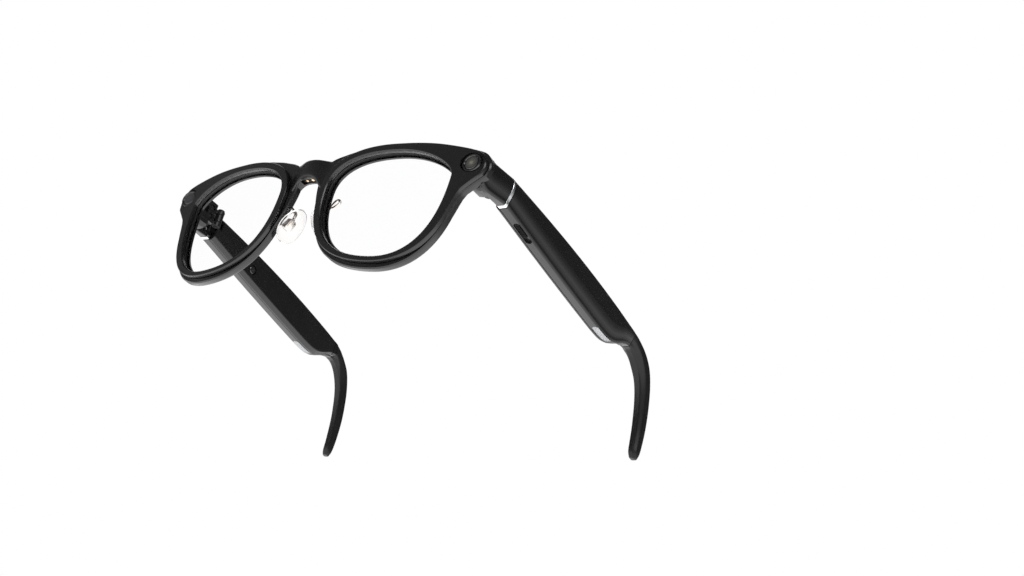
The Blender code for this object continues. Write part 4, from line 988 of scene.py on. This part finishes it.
def hook_section(row, share):
    """Section of the ear hook between its two edges. It starts as the temple's outline (share 0)."""
    low_y, low_z, high_y, high_z, inner, outer = row
    low, high = Vector((0, low_y, low_z)), Vector((0, high_y, high_z))
    size, width = (high - low).length, outer - inner
    d = (high - low).normalized()
    r = min(0.75, size * 0.25, width * 0.25)

    def corner(x, e, sx, se):
        points = [(x + sx * r * (1 - cos(k / 5 * QUARTER)), e + se * r * (1 - sin(k / 5 * QUARTER)))
                  for k in range(6)]
        return points if sx * se > 0 else points[::-1]

    slant = flat_spline([(outer - 0.5 * width, 0.0), (outer - 0.40 * width, 0.03),
                         (outer - 0.33 * width, 0.10 * size), (outer - 0.16, 0.36 * size),
                         (outer, 0.55 * size)], 4)
    box = corner(inner, 0.0, 1, 1) + slant + corner(outer, size, -1, -1) + corner(inner, size, 1, -1)
    top, bottom = heights(SHELL_BACK)
    start = [(x + inner - COVER_X if x < PART_X else x + outer - OUTER_X, (z - bottom) / (top - bottom) * size)
             for x, z in temple_outline(top, bottom)]
    return [(x, (low + d * e).y, (low + d * e).z)
            for x, e in between(around(start), around(box), smooth_step(share))]


def temple_tip(hand, side):
    name = "temple_tip_" + hand
    sections = [hook_section(r, k / HOOK_BLEND) for k, r in enumerate(spline(HOOK, 6))]
    sections.insert(0, [(67.6 + (x - 67.6) * 0.975, y - 0.12, z + (8.0 - z) * 0.025) for x, y, z in sections[0]])
    end = [Vector(p) for p in sections[-1]]
    mid = sum(end, Vector()) / len(end)
    for s, drop in ((0.86, 0.30), (0.55, 0.48)):
        sections.append([mid + (p - mid) * s - UP * drop for p in end])
    weigh(temple_loft(name + "_hook", side, sections, TIP, hand + "_temple", smooth=TEMPLE_SMOOTH,
                      stands_for=name))


def switch_shape(name, side, y0, y1, half, low, high, mat=None, body=None, ribs=0, **look):
    """A round-ended bar on the underside: the slider, or its pocket."""
    mid0, mid1 = y0 + half, y1 - half
    z0, z1 = interpolate(BOTTOM_LINE, SWITCH_FRONT), interpolate(BOTTOM_LINE, SWITCH_BACK)
    slope = (z1 - z0) / (SWITCH_BACK - SWITCH_FRONT)
    count = max(ribs * 10, 1)
    along = [mid0 + (mid1 - mid0) * (k + 1) / count for k in range(count - 1)]
    rows = []
    for y, w in round_ended(y0, y1, half, along, 8, 0.99):
        wave = 0.0
        if ribs and mid0 < y < mid1:
            phase = (y - mid0) / (mid1 - mid0) * ribs * 2 * pi + pi
            wave = -0.16 * max(cos(phase), -0.35) - 0.05
        rows.append(flat_box(SWITCH_X, w, y, z0 + slope * (y - SWITCH_FRONT), low + wave, high))
    return temple_loft(name, side, rows, mat, body, smooth=40.0, **look)


# ---- build ----
for side, hand in ((1, "left"), (-1, "right")):
    front_plate("front_plate_" + hand, side)
    lens("lens_" + hand, side)
    for build in (nose_pad, pad_box, pad_arm, temple_shell, temple_cover, collar, temple_tip):
        build(hand, side)
    oval_strip("speaker_grille_%s_mesh" % hand, side, 0.0, 0.14, 0.62, MESH, hand + "_temple",
               stands_for="speaker_grille_" + hand)
switch_shape("slide_switch_cap", 1, SWITCH_FRONT + 0.3, SWITCH_BACK - 0.3 - SWITCH_TRAVEL, 0.84, 0.05, 0.65, SOFT,
             "power_slider", 7, stands_for="slide_switch")
front_frame()
eye("camera", 1, (0.20, 0.19, 0.13), (0.085, 0.085, 0.075))
# the indicator window is dark grey; its purple tint and paler core are a painted glint
eye("indicator", -1, (0.030, 0.022, 0.040), (0.018, 0.016, 0.022))
contacts()
sensor_at = splay(-1, (COVER_X + 0.1, SENSOR_Y, SENSOR_Z))
turned("wear_sensor_window", sensor_at, SENSOR_AXIS,
       ((0, -0.02), (0.8, 0.0), (1.45, 0.05), (1.62, 0.2), (1.65, 1.2), (0, 1.2)),
       eye_glass("sensor_glass", sensor_at, (0.020, 0.018, 0.020), grey(0.012)), "right_temple", 48,
       stands_for="wear_sensor")

# ---- the CAD's own inner parts keep their shape and get a finish ----
FINISH = (
    (CELL, "battery"), (CHIP, "speaker_left speaker_right processor"), (GLOSS, "camera_barrel"),
    (BOARD, "main_board power_board camera_board indicator_board"), (SILICONE, "indicator_led"), (STEEL,
                                                                                                  "tip_core"),
    (DARK_STEEL, "front_leaf temple_leaf hinge_pin hinge_screw"),
)
for node_name, node in NODES.items():
    if node.hide_render:
        continue
    finish = next((mat for mat, starts in FINISH if node_name.startswith(tuple(starts.split()))), BLACK)
    node.data.materials.clear()
    node.data.materials.append(finish)
    weld = node.modifiers.new("weld", "WELD")
    weld.merge_threshold = 2 * MERGE
    edge = node.modifiers.new("edge", "BEVEL")
    edge.width = 0.08 * MM
    edge.segments = 2
    edge.limit_method = "ANGLE"
    edge.angle_limit = radians(50)
    edge.use_clamp_overlap = True


# ---- floor, light and camera ----
FLOOR_GLOW = 2.1  # how bright the floor looks in reflections
FLOOR_LIFT = 0.18  # its own light, so that it stays pale
FLOOR_RADIUS = 0.65  # metres
FLOOR_FADE = (0.28, 0.62)  # distances from its middle where it fades out
FLOOR_AT = (0.0, 60.0, -25.3 - 0.0676 * 55.0)  # under the middle of the glasses, which stand on rims and tips
FLOOR_SLOPE = atan2(-33.95 + 25.1, 136.0 - 5.0)  # from the rims' lowest points to the tips'
SKY = ((0.0, 2.2), (0.30, 2.1), (0.45, 1.05), (0.575, 0.48), (0.68, 0.09), (1.0, 0.06))  # height share, level
PATCHES = (  # direction, cosine of the inner and the outer edge, level
    ((-0.52, 0.46, 0.72), 0.97, 0.88, 1.2),
    ((-0.52, -0.72, 0.45), 0.92, 0.70, 0.17),
    ((0.72, -0.46, 0.50), 0.995, 0.965, 6.0),
)
DIFFUSE_LEVEL = 0.62  # the surroundings as diffuse rays see them


def pale_floor():
    """A plain pale floor the rims and the tips rest on. It fades out at its edge and is clear from below."""
    m, t = graph(bpy.data.materials.new("pale_floor"))
    m.cycles.emission_sampling = "NONE"  # its glow is only for reflections
    plain = add(t, "BsdfPrincipled", Emission_Color=(*WHITE, 1.0), Emission_Strength=FLOOR_LIFT,
                Base_Color=mixed(t, grain(t, 60.0), (0.86, 0.86, 0.86), (0.90, 0.90, 0.90)),
                Roughness=ranged(t, grain(t, 3.0), 0.62, 0.75))
    away = add(t, "VectorMath", read(t, "TexCoord", "Object"), operation="LENGTH")
    fade = ranged(t, away.outputs["Value"], 0.0, 1.0, *FLOOR_FADE)
    clear = reckon(t, "MAXIMUM", fade, read(t, "NewGeometry", "Backfacing"))
    glow = add(t, "Emission", Strength=FLOOR_GLOW)
    lit = add(t, "MixShader", read(t, "LightPath", "Is Glossy Ray"), plain, glow)
    shown(m, t, add(t, "MixShader", clear, lit, add(t, "BsdfTransparent")))
    edge = turn(96)
    mesh = bpy.data.meshes.new("floor")
    mesh.from_pydata([(0.0, 0.0, 0.0)] + [(FLOOR_RADIUS * cos(a), FLOOR_RADIUS * sin(a), 0.0) for a in edge],
                     [], [(0, 1 + k, 1 + (k + 1) % len(edge)) for k in range(len(edge))])
    mesh.materials.append(m)
    floor = stand("floor", mesh)
    floor.rotation_euler = (FLOOR_SLOPE, 0.0, 0.0)
    floor.location = (Vector(FLOOR_AT) - DATUM) * MM


def soft_world():
    """White behind everything. Reflections see light below, dim above, and a few soft patches."""
    world, t = graph(bpy.data.worlds.new("studio"))
    bpy.context.scene.world = world
    world.cycles.sampling_method = "NONE"  # so that every ray sees the world as its own kind
    ray = add(t, "LightPath").outputs
    mirrored = add(t, "Math", ray["Is Glossy Ray"], ray["Is Transmission Ray"], operation="SUBTRACT",
                   use_clamp=True)
    view = read(t, "TexCoord", "Generated")
    height = add(t, "SeparateXYZ", view).outputs["Z"]
    total = ramped(t, ranged(t, height, 0.0, 1.0, -1.0, 1.0), SKY)
    for direction, inner, outer, level in PATCHES:
        dot = add(t, "VectorMath", view, Vector(direction).normalized(), operation="DOT_PRODUCT")
        total = reckon(t, "ADD", total, ranged(t, dot.outputs["Value"], 0.0, level, outer, inner))
    dimmer = ranged(t, ray["Is Diffuse Ray"], 1.0, DIFFUSE_LEVEL, 0.0, 1.0)
    behind = add(t, "Background", Color=(*WHITE, 1.0), Strength=dimmer)
    surroundings = add(t, "Background", Color=total, Strength=1.0)
    shown(world, t, add(t, "MixShader", mirrored, behind, surroundings), "World")


def overhead_lamp():
    """One soft lamp that makes the shadows and is not seen in reflections."""
    light = bpy.data.lights.new("overhead", "AREA")
    light.shape = "DISK"
    light.size = 0.7
    light.energy = 2.6
    at, towards = Vector((0.1, 0.0, 0.9)), Vector((0.0, 0.05, -0.03))
    obj = stand("overhead", light)
    obj.location = at
    obj.rotation_euler = (towards - at).to_track_quat("-Z", "Y").to_euler()
    obj.visible_glossy = False


def photo_camera():
    """The camera that was fitted to the photograph's outlines."""
    right = Vector((0.85292, 0.47432, 0.21805))
    down = Vector((-0.05741, 0.50039, -0.86389))
    forward = Vector((-0.51887, 0.72432, 0.45403))
    data = bpy.data.cameras.new("photo_view")
    data.lens = 46.02
    data.sensor_width = 36.0
    data.clip_start = 0.01
    camera = stand("photo_view", data)
    camera.matrix_world = Matrix.Translation((0.2960, -0.2797, -0.22513)) @ Matrix(
        (right, -down, -forward)).transposed().to_4x4()
    bpy.context.scene.camera = camera


pale_floor()
soft_world()
overhead_lamp()
photo_camera()
bpy.context.scene.view_settings.view_transform = "Standard"
